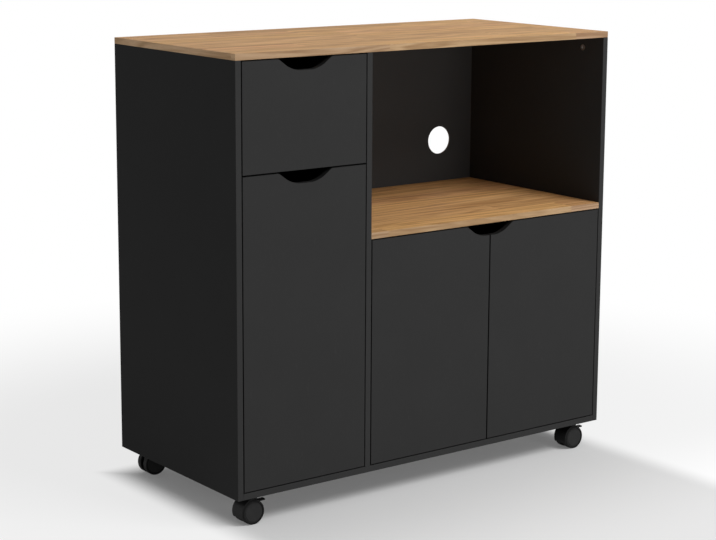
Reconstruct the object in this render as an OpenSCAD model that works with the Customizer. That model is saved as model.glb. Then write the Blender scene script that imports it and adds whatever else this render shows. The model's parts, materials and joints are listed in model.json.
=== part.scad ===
// Kitchen stand on casters, with one drawer, three inset doors and an open niche.
// The origin is on the floor under the middle of the stand. X runs to the right seen from
// the front, Y runs to the back and Z runs up. Every size is in millimetres.

/* [Cabinet] */
// Overall width
width = 900; // [860:5:1000]
// Overall depth
depth = 420; // [420:5:480]
// Overall height with the casters
height = 870; // [860:5:920]
// Thickness of the boards
board_t = 12; // [12:0.5:13]
// Thickness of the hardboard backs and of the drawer's bottom
sheet_t = 3; // [2.5:0.1:3]
// Inside width of the bay that holds the drawer
bay_w = 277.5; // [260:0.5:300]
// Height of the open niche
niche_h = 337.5; // [320:0.5:345]
// Diameter of the cable hole in the niche's back
cable_hole_d = 60; // [40:1:80]

/* [Fronts] */
// Gap round each front
front_gap = 1.5; // [1.5:0.1:2]
// Height of the drawer's front
drawer_front_h = 203; // [200:1:215]
// Depth of a finger notch
notch_depth = 21.5; // [18:0.5:24]
// Flat length at the bottom of a finger notch
notch_flat = 50; // [40:1:60]
// Radius of a notch's lower corners
notch_corner_r = 27; // [25:1:30]
// Slope of a notch's sides, in degrees
notch_slope = 40; // [36:1:44]
// Radius where a notch meets the edge of its front
notch_lip_r = 10; // [5:1:12]

/* [Drawer and shelves] */
// Length of the drawer's runners
runner_len = 350; // [300:50:350]
// Height of the drawer's sides
drawer_side_h = 118; // [90:1:120]
// Height of the left shelf's underside over the cupboard floor
left_shelf_rise = 290; // [270:1:300]
// Height of the right shelf's underside over the cupboard floor
right_shelf_rise = 210; // [200:1:220]

/* [Casters] */
// Height of a caster from the floor to the cabinet
caster_h = 56; // [56:0.5:60]
// Diameter of a caster's wheels
wheel_d = 47; // [45:0.5:48]
// Distance of a caster's stem from the cabinet's side
caster_side_inset = 47; // [45:1:60]
// Distance of a caster's stem from the cabinet's front or back
caster_end_inset = 30; // [29:1:36]
// Distance of the axle behind the stem
caster_trail = 4; // [3:0.5:6]

/* [Hidden] */
$fn = 64;

// Colours
board_black = [0.16, 0.16, 0.16];
oak = [0.70, 0.56, 0.45];
hardboard = [0.30, 0.24, 0.19];
nylon_black = [0.10, 0.10, 0.10];
zinc = [0.68, 0.69, 0.70];
beech = [0.80, 0.66, 0.48];

// Small working allowances
eps = 0.01;
cut = 1;
slip = 0.05;

// Levels and faces of the cabinet
case_bottom = caster_h;
case_top = height - board_t;
floor_z = case_bottom + board_t;
front_y = -depth / 2;
side_x = width / 2 - board_t;
bay_right = -side_x + bay_w;
niche_left = bay_right + board_t;
niche_w = side_x - niche_left;
niche_floor = case_top - niche_h;
shelf_under = niche_floor - board_t;
front_back_y = front_y + board_t;

// Grooves that hold the hardboard backs
groove_depth = 4;
groove_w = sheet_t + 0.2;
back_inset = 8;
groove_y = depth / 2 - back_inset - groove_w;

// Fronts
front_bottom = floor_z + front_gap;
drawer_front_top = case_top - front_gap;
drawer_front_bottom = drawer_front_top - drawer_front_h;
left_door_top = drawer_front_bottom - front_gap;
pair_door_top = shelf_under - front_gap;
left_front_x = -side_x + front_gap;
left_front_w = bay_w - 2 * front_gap;
pair_door_w = (niche_w - 3 * front_gap) / 2;
middle_door_x = niche_left + front_gap;
right_door_x = side_x - front_gap - pair_door_w;
notch_line = notch_flat / 2 + notch_corner_r * sin(notch_slope)
    + (notch_depth - notch_corner_r * (1 - cos(notch_slope))) / tan(notch_slope);

// Rail behind the gap between the drawer and the left door
rail_depth = 80;
rail_bottom = left_door_top + 2;
rail_top = rail_bottom + board_t;
rail_y = front_back_y + front_gap;

// Drawer box
runner_space = 12.5;
drawer_left = -side_x + runner_space;
drawer_right = bay_right - runner_space;
drawer_base = rail_top + 14;
drawer_end_y = front_back_y + runner_len;
drawer_sheet_z = drawer_base + 8;
drawer_sheet_top = drawer_sheet_z + groove_w;

// Runners: heights are over the drawer sides' lower edge
runner_t = 1.2;
roller_r = 9.9;
roller_w = 6.5;
roller_pin_r = 2;
roller_side_gap = 0.6;
lip_under = 15;
lip_w = 9.5;
lip_top = lip_under + runner_t;
track_w = 9.8;
roof_under = lip_top + 1;
front_roller_rise = lip_under - 0.3 - roller_r;
rear_roller_rise = lip_top + 0.4 - roller_r;
track_top = rear_roller_rise - roller_r - 0.3;
channel_bottom = track_top - runner_t - 1;
channel_top = roof_under + runner_t;
cabinet_runner_y = front_back_y + 2;
front_roller_y = cabinet_runner_y + 12;
rear_roller_y = drawer_end_y - 12;

// Adjustable shelves
shelf_play = 1;
shelf_front_y = front_back_y + 23;
shelf_depth = groove_y - 4 - shelf_front_y;
pin_r = 2.5;
pin_hole_depth = 7;
pin_out = 9;
pin_pitch = 32;
pin_front_y = shelf_front_y + 37;
pin_rear_y = shelf_front_y + shelf_depth - 37;
left_shelf_z = floor_z + left_shelf_rise;
right_shelf_z = floor_z + right_shelf_rise;

// Cam fittings: a cam in the end of one board draws in a bolt from the face of the next
cam_r = 6;
cam_depth = 9.2;
cam_setback = 24;
bolt_r = 2.45;
bolt_grip = 9;
dowel_r = 3;
dowel_len = 28;
cam_rows = [-150, 150];
dowel_rows = [-110, 110];
rail_row = rail_y + rail_depth / 2;
mid = board_t / 2;

// Each joint: its middle, its turn, the rows of its cams and the rows of its dowels.
// In a joint's own frame X runs into the end of the board that holds the cams, Y runs
// along the joint, and Z points to the face in which the cams show.
bottom_joints = [
    [[-side_x, 0, case_bottom + mid], [180, 0, 0], cam_rows, dowel_rows],
    [[side_x, 0, case_bottom + mid], [0, 180, 0], cam_rows, dowel_rows]
];
shelf_joints = [
    [[niche_left, 0, shelf_under + mid], [180, 0, 0], cam_rows, dowel_rows],
    [[side_x, 0, shelf_under + mid], [0, 180, 0], cam_rows, dowel_rows]
];
rail_joints = [
    [[-side_x, rail_row, rail_bottom + mid], [180, 0, 0], [0], [-22, 22]],
    [[bay_right, rail_row, rail_bottom + mid], [0, 180, 0], [0], [-22, 22]]
];
divider_joints = [
    [[bay_right + mid, 0, floor_z], [0, -90, 0], cam_rows, dowel_rows],
    [[bay_right + mid, 0, case_top], [180, 90, 0], cam_rows, dowel_rows]
];
top_joints = [
    [[-side_x - mid, 0, case_top], [0, 90, 0], cam_rows, dowel_rows],
    [[side_x + mid, 0, case_top], [180, 90, 0], cam_rows, dowel_rows]
];
case_joints = concat(bottom_joints, shelf_joints, rail_joints, divider_joints, top_joints);
drawer_joint_z = drawer_base + drawer_side_h / 2;
drawer_cam_rows = [-26, 38];
drawer_joints = [
    [[drawer_left + mid, front_back_y, drawer_joint_z], [90, 0, 90], drawer_cam_rows, []],
    [[drawer_right - mid, front_back_y, drawer_joint_z], [-90, 0, 90], -drawer_cam_rows, []]
];

// Drawer back: two screws through each side
drawer_screw_rises = [35, 95];
drawer_screw_len = 40;
drawer_back_y = drawer_end_y - board_t;

// Wood screws of the fittings
screw_r = 1.75;
screw_head_r = 3.4;
screw_head_h = 1.4;
screw_len = 9.5;
runner_screw_ys = [45, 150, 300];
runner_screw_rise = 6;
drawer_runner_screw_len = 7;

// Concealed hinges: set from the front corner of the door's hinge edge
cup_r = 13;
cup_depth = 8;
cup_wall = 0.8;
cup_setback = 18;
flange_t = 1;
flange_w = 22;
flange_len = 46;
arm_w = 11;
arm_screw_row = 62;
plate_t = 2;
plate_row = board_t + 37;
plate_screw_z = 16;
hinge_end_inset = 75;
left_hinge_zs = [front_bottom + hinge_end_inset, left_door_top - hinge_end_inset];
pair_hinge_zs = [front_bottom + hinge_end_inset, pair_door_top - hinge_end_inset];
// Each hinge set: the hinge edge, the way into the door, and the heights
left_hinges = [left_front_x, 1, left_hinge_zs];
middle_hinges = [middle_door_x, 1, pair_hinge_zs];
right_hinges = [side_x - front_gap, -1, pair_hinge_zs];
all_hinges = [left_hinges, middle_hinges, right_hinges];

// Casters
wheel_r = wheel_d / 2;
wheel_w = 12;
web_w = 8.9;
wheel_start = web_w / 2 + 0.3;
caster_w = 2 * (wheel_start + wheel_w);
axle_r = 2.5;
axle_len = 2 * (wheel_start + 8.6);
hood_inner_r = wheel_r + 0.6;
hood_outer_r = hood_inner_r + 2;
hood_start = 84;
hood_end = 196;
crown_r = 12;
crown_top = caster_h - 4.5;
ring_bottom = crown_top + 0.3;
plate_w = 38;
plate_corner_r = 4;
plate_hole_pitch = 28;
stem_r = 3;
stem_bottom = wheel_r + 11.5;
caster_x = width / 2 - caster_side_inset;
caster_y = depth / 2 - caster_end_inset;
brake_pivot = [14, 12.5];
brake_ear_r = 4;
brake_pin_r = 1.6;
brake_slot_w = 4.4;
brake_slot_x = 9;
brake_plate_start = 64;
brake_plate_end = 44;
brake_w = 16;
// Each caster: its place and the turn of its swivel at rest
front_left = [[-caster_x, -caster_y], 0];
front_right = [[caster_x, -caster_y], 0];
back_left = [[-caster_x, caster_y], 180];
back_right = [[caster_x, caster_y], 180];
all_casters = [front_left, front_right, back_left, back_right];

// ---------- shared shapes ----------

// A board from one corner, with its three sizes
module board(corner, size) {
    translate(corner) cube(size);
}

// A flat rounded rectangle about its middle
module rounded_rect(w, h, r) {
    square([w, h - 2 * r], center = true);
    square([w - 2 * r, h], center = true);
    for (x = [-1, 1], y = [-1, 1])
        translate([x * (w / 2 - r), y * (h / 2 - r)]) circle(r);
}

// A round bar along +X
module bar_x(r, len) {
    rotate([0, 90, 0]) cylinder(r = r, h = len);
}

// A round bar along Y, about its middle
module bar_y(r, len) {
    rotate([90, 0, 0]) cylinder(r = r, h = len, center = true);
}

// Points along an arc about the origin
function arc(r, from, to, steps) =
    [for (i = [0 : steps]) let (a = from + (to - from) * i / steps) [r * cos(a), r * sin(a)]];

// A screw that points along -Z, its head resting on the plane z = 0
module screw(len = screw_len) {
    translate([0, 0, -len]) cylinder(r = screw_r, h = len + eps);
    difference() {
        cylinder(r1 = screw_head_r, r2 = screw_head_r - 0.6, h = screw_head_h);
        for (a = [0, 90])
            rotate(a) translate([-2, -0.35, screw_head_h - 0.8]) cube([4, 0.7, cut + 0.8]);
    }
}

// The hole for such a screw, from the face at z = 0
module screw_hole(len = screw_len) {
    translate([0, 0, -len - 0.3]) cylinder(r = screw_r + slip, h = len + 0.3 + cut);
}

// ---------- cam joints ----------

// Its children at each row of each joint; which is 2 for the cams and 3 for the dowels
module at_joints(joints, which) {
    for (joint = joints)
        translate(joint[0]) rotate(joint[1])
            for (row = joint[which])
                translate([0, row, 0]) children();
}

// The bores of a joint, in both of its boards
module joint_bores(joints) {
    at_joints(joints, 2) {
        translate([cam_setback, 0, mid - cam_depth - 0.2])
            cylinder(r = cam_r + 0.1, h = cam_depth + cut);
        translate([-bolt_grip - 0.2, 0, 0]) bar_x(bolt_r + slip, bolt_grip + cam_setback);
    }
    at_joints(joints, 3)
        translate([-bolt_grip - 0.2, 0, 0]) bar_x(dowel_r + slip, dowel_len + 0.4);
}

// A round cam with a cross slot, and a mouth for the bolt's head
module cam() {
    translate([cam_setback, 0, mid - cam_depth])
        difference() {
            cylinder(r = cam_r, h = cam_depth);
            translate([-cam_r - cut, -1.9, cam_depth - mid - 1.9]) cube([cam_r + cut, 3.8, 3.8]);
            translate([0, 0, cam_depth - mid - 3.1]) cylinder(r = 3.6, h = 6.2);
            for (a = [0, 90])
                rotate(a) translate([-3.4, -0.6, cam_depth - 1.2]) cube([6.8, 1.2, cut + 1.2]);
        }
}

// A bolt screwed into one board, with a neck and a head that the cam grips
module cam_bolt() {
    translate([-bolt_grip, 0, 0]) bar_x(bolt_r, bolt_grip + 14);
    translate([14 - eps, 0, 0]) bar_x(1.5, cam_setback - 14);
    translate([cam_setback - 1.5, 0, 0]) bar_x(2.6, 3);
}

// A beech dowel with chamfered ends
module dowel() {
    translate([-bolt_grip, 0, 0])
        rotate([0, 90, 0])
            rotate_extrude()
                polygon([[0, 0], [dowel_r - 1, 0], [dowel_r, 1], [dowel_r, dowel_len - 1],
                         [dowel_r - 1, dowel_len], [0, dowel_len]]);
}

module cams() {
    color(zinc) at_joints(case_joints, 2) cam();
}

module cam_bolts() {
    color(zinc) at_joints(case_joints, 2) cam_bolt();
}

module dowels() {
    color(beech) at_joints(case_joints, 3) dowel();
}

// ---------- carcass ----------

// The groove for a back sheet: a slot cut upwards from floor level
module back_groove(x, w, bottom) {
    translate([x, groove_y, bottom]) cube([w, groove_w, height]);
}

// Its children at each hole of a row of shelf pins, pointing along +X into the board
module at_pins(x, way, z, steps = [-1, 0, 1]) {
    for (y = [pin_front_y, pin_rear_y], step = steps)
        translate([x, y, z - pin_r + step * pin_pitch])
            mirror([way < 0 ? 1 : 0, 0, 0]) children();
}

module pin_holes(x, way, z) {
    at_pins(x, way, z) translate([-cut, 0, 0]) bar_x(pin_r + slip, pin_hole_depth + cut);
}

// Its children at each runner screw on a wall at x, their -Z pointing into the wall
module at_runner_screws(x, way, base_y) {
    for (y = runner_screw_ys)
        translate([x, base_y + y, drawer_base + runner_screw_rise])
            rotate([0, -90 * way, 0]) children();
}

// Its children at each screw of the hinge plates, their -Z pointing into the panel
module at_hinge_screws(sets, lift = 0) {
    for (hinge = sets, z = hinge[2], up = [-1, 1])
        translate([hinge[0] - hinge[1] * (front_gap - lift), front_y + plate_row,
                   z + up * plate_screw_z])
            rotate([0, 90 * hinge[1], 0]) children();
}

module top_panel() {
    color(oak)
        difference() {
            board([-width / 2, front_y, case_top], [width, depth, board_t]);
            joint_bores(concat(top_joints, [divider_joints[1]]));
        }
}

// One outer side, drawn as the left one
module side_board(joints, hinge, pin_z, has_runner) {
    difference() {
        board([-width / 2, front_y, case_bottom], [board_t, depth, case_top - case_bottom]);
        joint_bores(joints);
        back_groove(-side_x - groove_depth, groove_depth + cut, floor_z - groove_depth);
        pin_holes(-side_x, -1, pin_z);
        at_hinge_screws([hinge]) screw_hole();
        if (has_runner)
            at_runner_screws(-side_x, -1, cabinet_runner_y) screw_hole();
    }
}

module left_side() {
    color(board_black)
        side_board([bottom_joints[0], rail_joints[0], top_joints[0]], left_hinges,
                   left_shelf_z, true);
}

// The right side is the mirror image, with the niche shelf in place of the drawer
module right_side() {
    mirrored_hinges = [-right_hinges[0], 1, pair_hinge_zs];
    color(board_black)
        difference() {
            mirror([1, 0, 0]) side_board([], mirrored_hinges, right_shelf_z, false);
            joint_bores([bottom_joints[1], shelf_joints[1], top_joints[1]]);
        }
}

module divider() {
    color(board_black)
        difference() {
            board([bay_right, front_y, floor_z], [board_t, depth, case_top - floor_z]);
            joint_bores(concat(divider_joints, [shelf_joints[0], rail_joints[1]]));
            back_groove(bay_right - cut, groove_depth + cut, floor_z - cut);
            back_groove(niche_left - groove_depth, groove_depth + cut, floor_z - cut);
            pin_holes(bay_right, 1, left_shelf_z);
            pin_holes(niche_left, -1, right_shelf_z);
            at_hinge_screws([middle_hinges]) screw_hole();
            at_runner_screws(bay_right, 1, cabinet_runner_y) screw_hole();
        }
}

module bottom_panel() {
    color(board_black)
        difference() {
            board([-side_x, front_y, case_bottom], [2 * side_x, depth, board_t]);
            joint_bores(concat(bottom_joints, [divider_joints[0]]));
            translate([-side_x - cut, groove_y, floor_z - groove_depth])
                cube([2 * side_x + 2 * cut, groove_w, groove_depth + cut]);
            at_caster_screws() translate([0, 0, -plate_t]) screw_hole(screw_len - plate_t);
        }
}

module niche_shelf() {
    color(oak)
        difference() {
            board([niche_left, front_y, shelf_under], [niche_w, groove_y - front_y - 0.1, board_t]);
            joint_bores(shelf_joints);
        }
}

module drawer_rail() {
    color(board_black)
        difference() {
            board([-side_x, rail_y, rail_bottom], [bay_w, rail_depth, board_t]);
            joint_bores(rail_joints);
        }
}

// One back sheet for a bay that starts at x and is w wide, with its edges in the grooves
module back_sheet(x, w) {
    tuck = groove_depth - 0.1;
    board([x - tuck, groove_y + 0.1, floor_z - tuck],
          [w + 2 * tuck, sheet_t, case_top - floor_z + tuck - 0.1]);
}

module left_back() {
    color(hardboard) back_sheet(-side_x, bay_w);
}

// The right sheet has a round hole low in the niche for a mains lead
module right_back() {
    color(hardboard)
        difference() {
            back_sheet(niche_left, niche_w);
            translate([side_x - 90, groove_y, niche_floor + 90])
                rotate([-90, 0, 0])
                    translate([0, 0, -cut]) cylinder(d = cable_hole_d, h = groove_w + 2 * cut);
        }
}

module adjustable_shelf(x, w, z) {
    board([x + shelf_play / 2, shelf_front_y, z], [w - shelf_play, shelf_depth, board_t]);
}

module left_shelf() {
    color(board_black) adjustable_shelf(-side_x, bay_w, left_shelf_z);
}

module right_shelf() {
    color(board_black) adjustable_shelf(niche_left, niche_w, right_shelf_z);
}

// A shelf pin: a shank in its hole, a collar and a flat-topped peg under the shelf
module shelf_pin() {
    translate([-pin_out, 0, 0]) bar_x(pin_r - slip, pin_out + pin_hole_depth - 0.3);
    translate([-1.5, 0, 0])
        intersection() {
            bar_x(4, 1.5);
            translate([0, -5, -5]) cube([2, 10, 5 + pin_r - slip]);
        }
}

module shelf_pins() {
    color(zinc) {
        at_pins(-side_x, -1, left_shelf_z, [0]) shelf_pin();
        at_pins(bay_right, 1, left_shelf_z, [0]) shelf_pin();
        at_pins(niche_left, -1, right_shelf_z, [0]) shelf_pin();
        at_pins(side_x, 1, right_shelf_z, [0]) shelf_pin();
    }
}

// ---------- fronts ----------

// The outline of a finger notch below the line y = 0, about x = 0: a flat bottom, round lower
// corners, straight slopes, and soft lips at the top
module notch_outline() {
    low = [notch_flat / 2 + notch_corner_r * sin(notch_slope),
           notch_corner_r * (1 - cos(notch_slope)) - notch_depth];
    lip = notch_lip_r * tan(notch_slope / 2);
    over = 3;
    for (way = [0, 1])
        mirror([way, 0, 0]) {
            polygon([[-eps, -notch_depth], [notch_flat / 2, -notch_depth], low,
                     [notch_line, 0], [notch_line, over], [-eps, over]]);
            intersection() {
                translate([notch_flat / 2, notch_corner_r - notch_depth]) circle(notch_corner_r);
                translate([0, -notch_depth]) square([notch_line, notch_depth]);
            }
            difference() {
                polygon([[notch_line - lip * cos(notch_slope), -lip * sin(notch_slope)],
                         [notch_line + lip, 0], [notch_line + lip, over], [notch_line - 2, over],
                         [notch_line - 2, 0]]);
                translate([notch_line + lip, -notch_lip_r]) circle(notch_lip_r);
            }
        }
}

// A front board with a finger notch at notch_x along its top edge
module front_board(x, z, w, h, notch_x) {
    translate([x, front_back_y, z])
        rotate([90, 0, 0])
            linear_extrude(board_t)
                difference() {
                    square([w, h]);
                    translate([notch_x, h]) notch_outline();
                }
}

// The round pockets for the hinge cups
module cup_pockets(hinge) {
    for (z = hinge[2])
        translate([hinge[0] + hinge[1] * cup_setback, front_back_y - cup_depth, z])
            rotate([-90, 0, 0]) cylinder(r = cup_r + slip, h = cup_depth + cut);
}

module left_door() {
    color(board_black)
        difference() {
            front_board(left_front_x, front_bottom, left_front_w, left_door_top - front_bottom,
                        left_front_w / 2);
            cup_pockets(left_hinges);
        }
}

module middle_door() {
    color(board_black)
        difference() {
            front_board(middle_door_x, front_bottom, pair_door_w, pair_door_top - front_bottom,
                        pair_door_w + front_gap / 2);
            cup_pockets(middle_hinges);
        }
}

module right_door() {
    color(board_black)
        difference() {
            front_board(right_door_x, front_bottom, pair_door_w, pair_door_top - front_bottom,
                        -front_gap / 2);
            cup_pockets(right_hinges);
        }
}

// ---------- hinges ----------

// Its children at each hinge of a set: X into the door from its hinge edge, Y back from its
// front face, Z up from the hinge's middle
module at_hinges(sets) {
    for (hinge = sets, z = hinge[2])
        translate([hinge[0], front_y, z])
            mirror([hinge[1] < 0 ? 1 : 0, 0, 0]) children();
}

// A pressed cup with a flat flange that rests on the back of the door
module hinge_cup() {
    translate([cup_setback, board_t, 0])
        rotate([-90, 0, 0]) {
            translate([0, 0, -cup_depth + 0.2])
                difference() {
                    cylinder(r = cup_r, h = cup_depth - 0.2);
                    translate([0, 0, cup_wall]) cylinder(r = cup_r - cup_wall, h = cup_depth);
                }
            linear_extrude(flange_t)
                difference() {
                    union() {
                        rounded_rect(flange_w, flange_len, 8);
                        circle(cup_r + 1.5);
                    }
                    circle(cup_r - cup_wall);
                }
            for (end = [-1, 1])
                translate([0, end * (flange_len / 2 - 5), flange_t - eps])
                    cylinder(r1 = 3, r2 = 2.4, h = 1);
        }
}

// The cranked arm: a folded channel from the plate on the panel into the cup
module hinge_arm() {
    seat = plate_t - front_gap;
    outline = [[12.5, 9.5], [21, 9.5], [22, 11], [22, 17], [16, 22.5], [9.5, 27], [8, 30],
               [8, 70], [seat, 70], [seat, 26], [4, 20], [12, 15.2]];
    hollow = [[13.7, 8], [20.8, 8], [20.8, 16.4], [15.2, 21.4], [8.5, 26.2], [6.8, 29],
              [6.8, 71], [-1, 71], [-1, 27], [5, 21], [13.7, 16]];
    difference() {
        translate([0, 0, -arm_w / 2]) linear_extrude(arm_w) polygon(outline);
        translate([0, 0, -arm_w / 2 + 1.2]) linear_extrude(arm_w - 2.4) polygon(hollow);
    }
    translate([seat, arm_screw_row, 0])
        difference() {
            union() {
                bar_x(2, 8);
                translate([7.5 - eps, 0, 0]) bar_x(3.2, 1.4);
            }
            translate([8.1, -4, -0.4]) cube([2, 8, 0.8]);
        }
}

// A cross-shaped mounting plate on the panel
module hinge_plate() {
    translate([-front_gap, plate_row, 0])
        rotate([0, 90, 0])
            linear_extrude(plate_t)
                difference() {
                    union() {
                        translate([0, 5]) rounded_rect(14, 50, 3);
                        rounded_rect(2 * plate_screw_z + 14, 13, 6);
                    }
                    for (end = [-1, 1])
                        translate([end * plate_screw_z, 0]) circle(screw_r + 0.3);
                }
}

module hinge_arms() {
    color(zinc) at_hinges(all_hinges) hinge_arm();
}

module hinge_plates() {
    color(zinc) at_hinges(all_hinges) hinge_plate();
}

module hinge_screws() {
    color(zinc) at_hinge_screws(all_hinges, plate_t) screw();
}

module left_door_cups() {
    color(zinc) at_hinges([left_hinges]) hinge_cup();
}

module middle_door_cups() {
    color(zinc) at_hinges([middle_hinges]) hinge_cup();
}

module right_door_cups() {
    color(zinc) at_hinges([right_hinges]) hinge_cup();
}

// ---------- drawer ----------

// The groove for the drawer's bottom, in its sides and its front
module drawer_groove() {
    translate([drawer_left + board_t - groove_depth, front_back_y - groove_depth, drawer_sheet_z])
        cube([drawer_right - drawer_left - 2 * (board_t - groove_depth),
              runner_len + 2 * groove_depth, groove_w]);
}

// Its children at each screw of the drawer's back, their -Z pointing into the back's end
module at_drawer_screws() {
    for (side = [-1, 1], rise = drawer_screw_rises)
        translate([side < 0 ? drawer_left : drawer_right, drawer_back_y + mid, drawer_base + rise])
            rotate([0, 90 * side, 0]) children();
}

// A long countersunk screw whose head lies flush with the plane z = 0
module drawer_screw() {
    translate([0, 0, -drawer_screw_len])
        cylinder(r = 2.4, h = drawer_screw_len - 3 + eps);
    translate([0, 0, -3])
        difference() {
            cylinder(r1 = 2.4, r2 = 4, h = 3);
            translate([0, 0, 1.5]) cylinder(r = 1.5, h = 2);
        }
}

module drawer_screw_hole() {
    translate([0, 0, -drawer_screw_len - 0.5])
        cylinder(r = 2.4 + slip, h = drawer_screw_len + cut);
    translate([0, 0, -3 - slip]) cylinder(r1 = 2.4 + slip, r2 = 4.6, h = 3 + 0.1);
    cylinder(r = 4.6, h = cut);
}

module drawer_front() {
    color(board_black)
        difference() {
            front_board(left_front_x, drawer_front_bottom, left_front_w, drawer_front_h,
                        left_front_w / 2);
            joint_bores(drawer_joints);
            drawer_groove();
        }
}

module drawer_side(x, joint) {
    difference() {
        board([x, front_back_y, drawer_base], [board_t, runner_len, drawer_side_h]);
        joint_bores([joint]);
        drawer_groove();
        at_drawer_screws() drawer_screw_hole();
        at_drawer_runner_screws() screw_hole(drawer_runner_screw_len);
    }
}

module drawer_left_side() {
    color(board_black) drawer_side(drawer_left, drawer_joints[0]);
}

module drawer_right_side() {
    color(board_black) drawer_side(drawer_right - board_t, drawer_joints[1]);
}

module drawer_back() {
    color(board_black)
        difference() {
            board([drawer_left + board_t, drawer_back_y, drawer_sheet_top],
                  [drawer_right - drawer_left - 2 * board_t, board_t,
                   drawer_base + drawer_side_h - drawer_sheet_top]);
            at_drawer_screws() drawer_screw_hole();
        }
}

module drawer_bottom() {
    tuck = groove_depth - 0.1;
    color(hardboard)
        board([drawer_left + board_t - tuck, front_back_y - tuck, drawer_sheet_z + 0.1],
              [drawer_right - drawer_left - 2 * board_t + 2 * tuck, runner_len + tuck, sheet_t]);
}

module drawer_cams() {
    color(zinc) at_joints(drawer_joints, 2) cam();
}

module drawer_bolts() {
    color(zinc) at_joints(drawer_joints, 2) cam_bolt();
}

module drawer_screws() {
    color(zinc) at_drawer_screws() drawer_screw();
}

// ---------- runners ----------

// A rolled section drawn as [across, up] boxes and run along Y
module section_run(boxes, y, len) {
    for (b = boxes)
        translate([b[0], y, b[1]]) cube([b[2], len, b[3]]);
}

// The pin of a roller: through the roller from a web's face at x = 0, with a round head
module roller_pin() {
    reach = 2 * roller_side_gap - 0.3 + roller_w;
    translate([-eps, 0, 0]) bar_x(roller_pin_r, reach + eps);
    translate([reach - eps, 0, 0]) bar_x(3.2, 0.8);
}

// A roller with a rounded tread and a bore, along +X
module roller() {
    bore_r = roller_pin_r + slip;
    translate([roller_side_gap, 0, 0])
        rotate([0, 90, 0])
            rotate_extrude()
                polygon([[bore_r, 0], [4, 0], [4, 0.8], [7.5, 0.8], [7.5, 0], [roller_r - 0.8, 0],
                         [roller_r, 0.8], [roller_r, roller_w - 0.8], [roller_r - 0.8, roller_w],
                         [7.5, roller_w], [7.5, roller_w - 0.8], [4, roller_w - 0.8],
                         [4, roller_w], [bore_r, roller_w]]);
}

// The runner on the cabinet: a channel open to the drawer, X running from the wall.
// Its lower track stops behind the front roller.
module cabinet_runner() {
    track_y = front_roller_y + roller_r + 2;
    end_y = cabinet_runner_y + runner_len;
    difference() {
        union() {
            section_run([[0, channel_bottom, runner_t, channel_top - channel_bottom],
                         [0, roof_under, track_w, runner_t]], cabinet_runner_y, runner_len);
            section_run([[0, track_top - runner_t, track_w, runner_t]], track_y, end_y - track_y);
            section_run([[0, track_top - eps, track_w, 2.5]], end_y - 2, 2);
        }
        for (y = runner_screw_ys)
            translate([-cut, cabinet_runner_y + y, runner_screw_rise])
                bar_x(screw_r + 0.3, runner_t + 2 * cut);
    }
    translate([runner_t, front_roller_y, front_roller_rise]) roller_pin();
}

// The runner on the drawer, X running from the drawer's side to the wall: a flange under the
// side, a web, and a lip that rides on the front roller and stops short of the rear one
module drawer_runner() {
    lip_end = rear_roller_y - roller_r - 2;
    difference() {
        union() {
            section_run([[0, -runner_t, runner_t, lip_top + runner_t],
                         [-board_t + 1, -runner_t, board_t, runner_t]], front_back_y, runner_len);
            section_run([[0, lip_under, lip_w, runner_t]], front_back_y, lip_end - front_back_y);
        }
        for (y = runner_screw_ys)
            translate([-cut, front_back_y + y, runner_screw_rise])
                bar_x(screw_r + 0.3, runner_t + 2 * cut);
    }
    translate([runner_t, rear_roller_y, rear_roller_rise]) roller_pin();
}

// Its children at both walls, X pointing away from each wall into the bay
module at_bay_walls() {
    translate([-side_x, 0, drawer_base]) children();
    translate([bay_right, 0, drawer_base]) mirror([1, 0, 0]) children();
}

// Its children at both drawer sides, X pointing from each side to its wall
module at_drawer_walls() {
    translate([drawer_left, 0, drawer_base]) mirror([1, 0, 0]) children();
    translate([drawer_right, 0, drawer_base]) children();
}

module at_drawer_runner_screws() {
    at_runner_screws(drawer_left, 1, front_back_y) children();
    at_runner_screws(drawer_right, -1, front_back_y) children();
}

module cabinet_runners() {
    color(zinc) at_bay_walls() cabinet_runner();
}

module drawer_runners() {
    color(zinc) at_drawer_walls() drawer_runner();
}

module front_rollers() {
    color(nylon_black)
        at_bay_walls() translate([runner_t, front_roller_y, front_roller_rise]) roller();
}

module rear_rollers() {
    color(nylon_black)
        at_drawer_walls() translate([runner_t, rear_roller_y, rear_roller_rise]) roller();
}

module runner_screws() {
    color(zinc) {
        at_runner_screws(-side_x, -1, cabinet_runner_y) translate([0, 0, runner_t]) screw();
        at_runner_screws(bay_right, 1, cabinet_runner_y) translate([0, 0, runner_t]) screw();
    }
}

module drawer_runner_screws() {
    color(zinc)
        at_drawer_runner_screws() translate([0, 0, runner_t]) screw(drawer_runner_screw_len);
}

// ---------- casters ----------

// Its children at each screw of the caster plates, their -Z pointing up into the cabinet
module at_caster_screws() {
    for (caster = all_casters, x = [-1, 1], y = [-1, 1])
        translate([caster[0][0] + x * plate_hole_pitch / 2,
                   caster[0][1] + y * plate_hole_pitch / 2, caster_h - plate_t])
            rotate([180, 0, 0]) children();
}

// A square plate with rounded corners and the ring that the hood turns against
module caster_plate() {
    difference() {
        union() {
            translate([0, 0, caster_h - plate_t])
                linear_extrude(plate_t) rounded_rect(plate_w, plate_w, plate_corner_r);
            translate([0, 0, ring_bottom])
                cylinder(r1 = crown_r - 1, r2 = crown_r, h = caster_h - plate_t - ring_bottom + eps);
        }
        translate([0, 0, ring_bottom - cut]) cylinder(r = stem_r + slip, h = caster_h);
        for (x = [-1, 1], y = [-1, 1])
            translate([x * plate_hole_pitch / 2, y * plate_hole_pitch / 2, caster_h - plate_t - cut])
                cylinder(r = screw_r + 0.4, h = plate_t + 2 * cut);
    }
}

module caster_plates() {
    color(zinc)
        for (caster = all_casters) translate(caster[0]) caster_plate();
}

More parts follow.
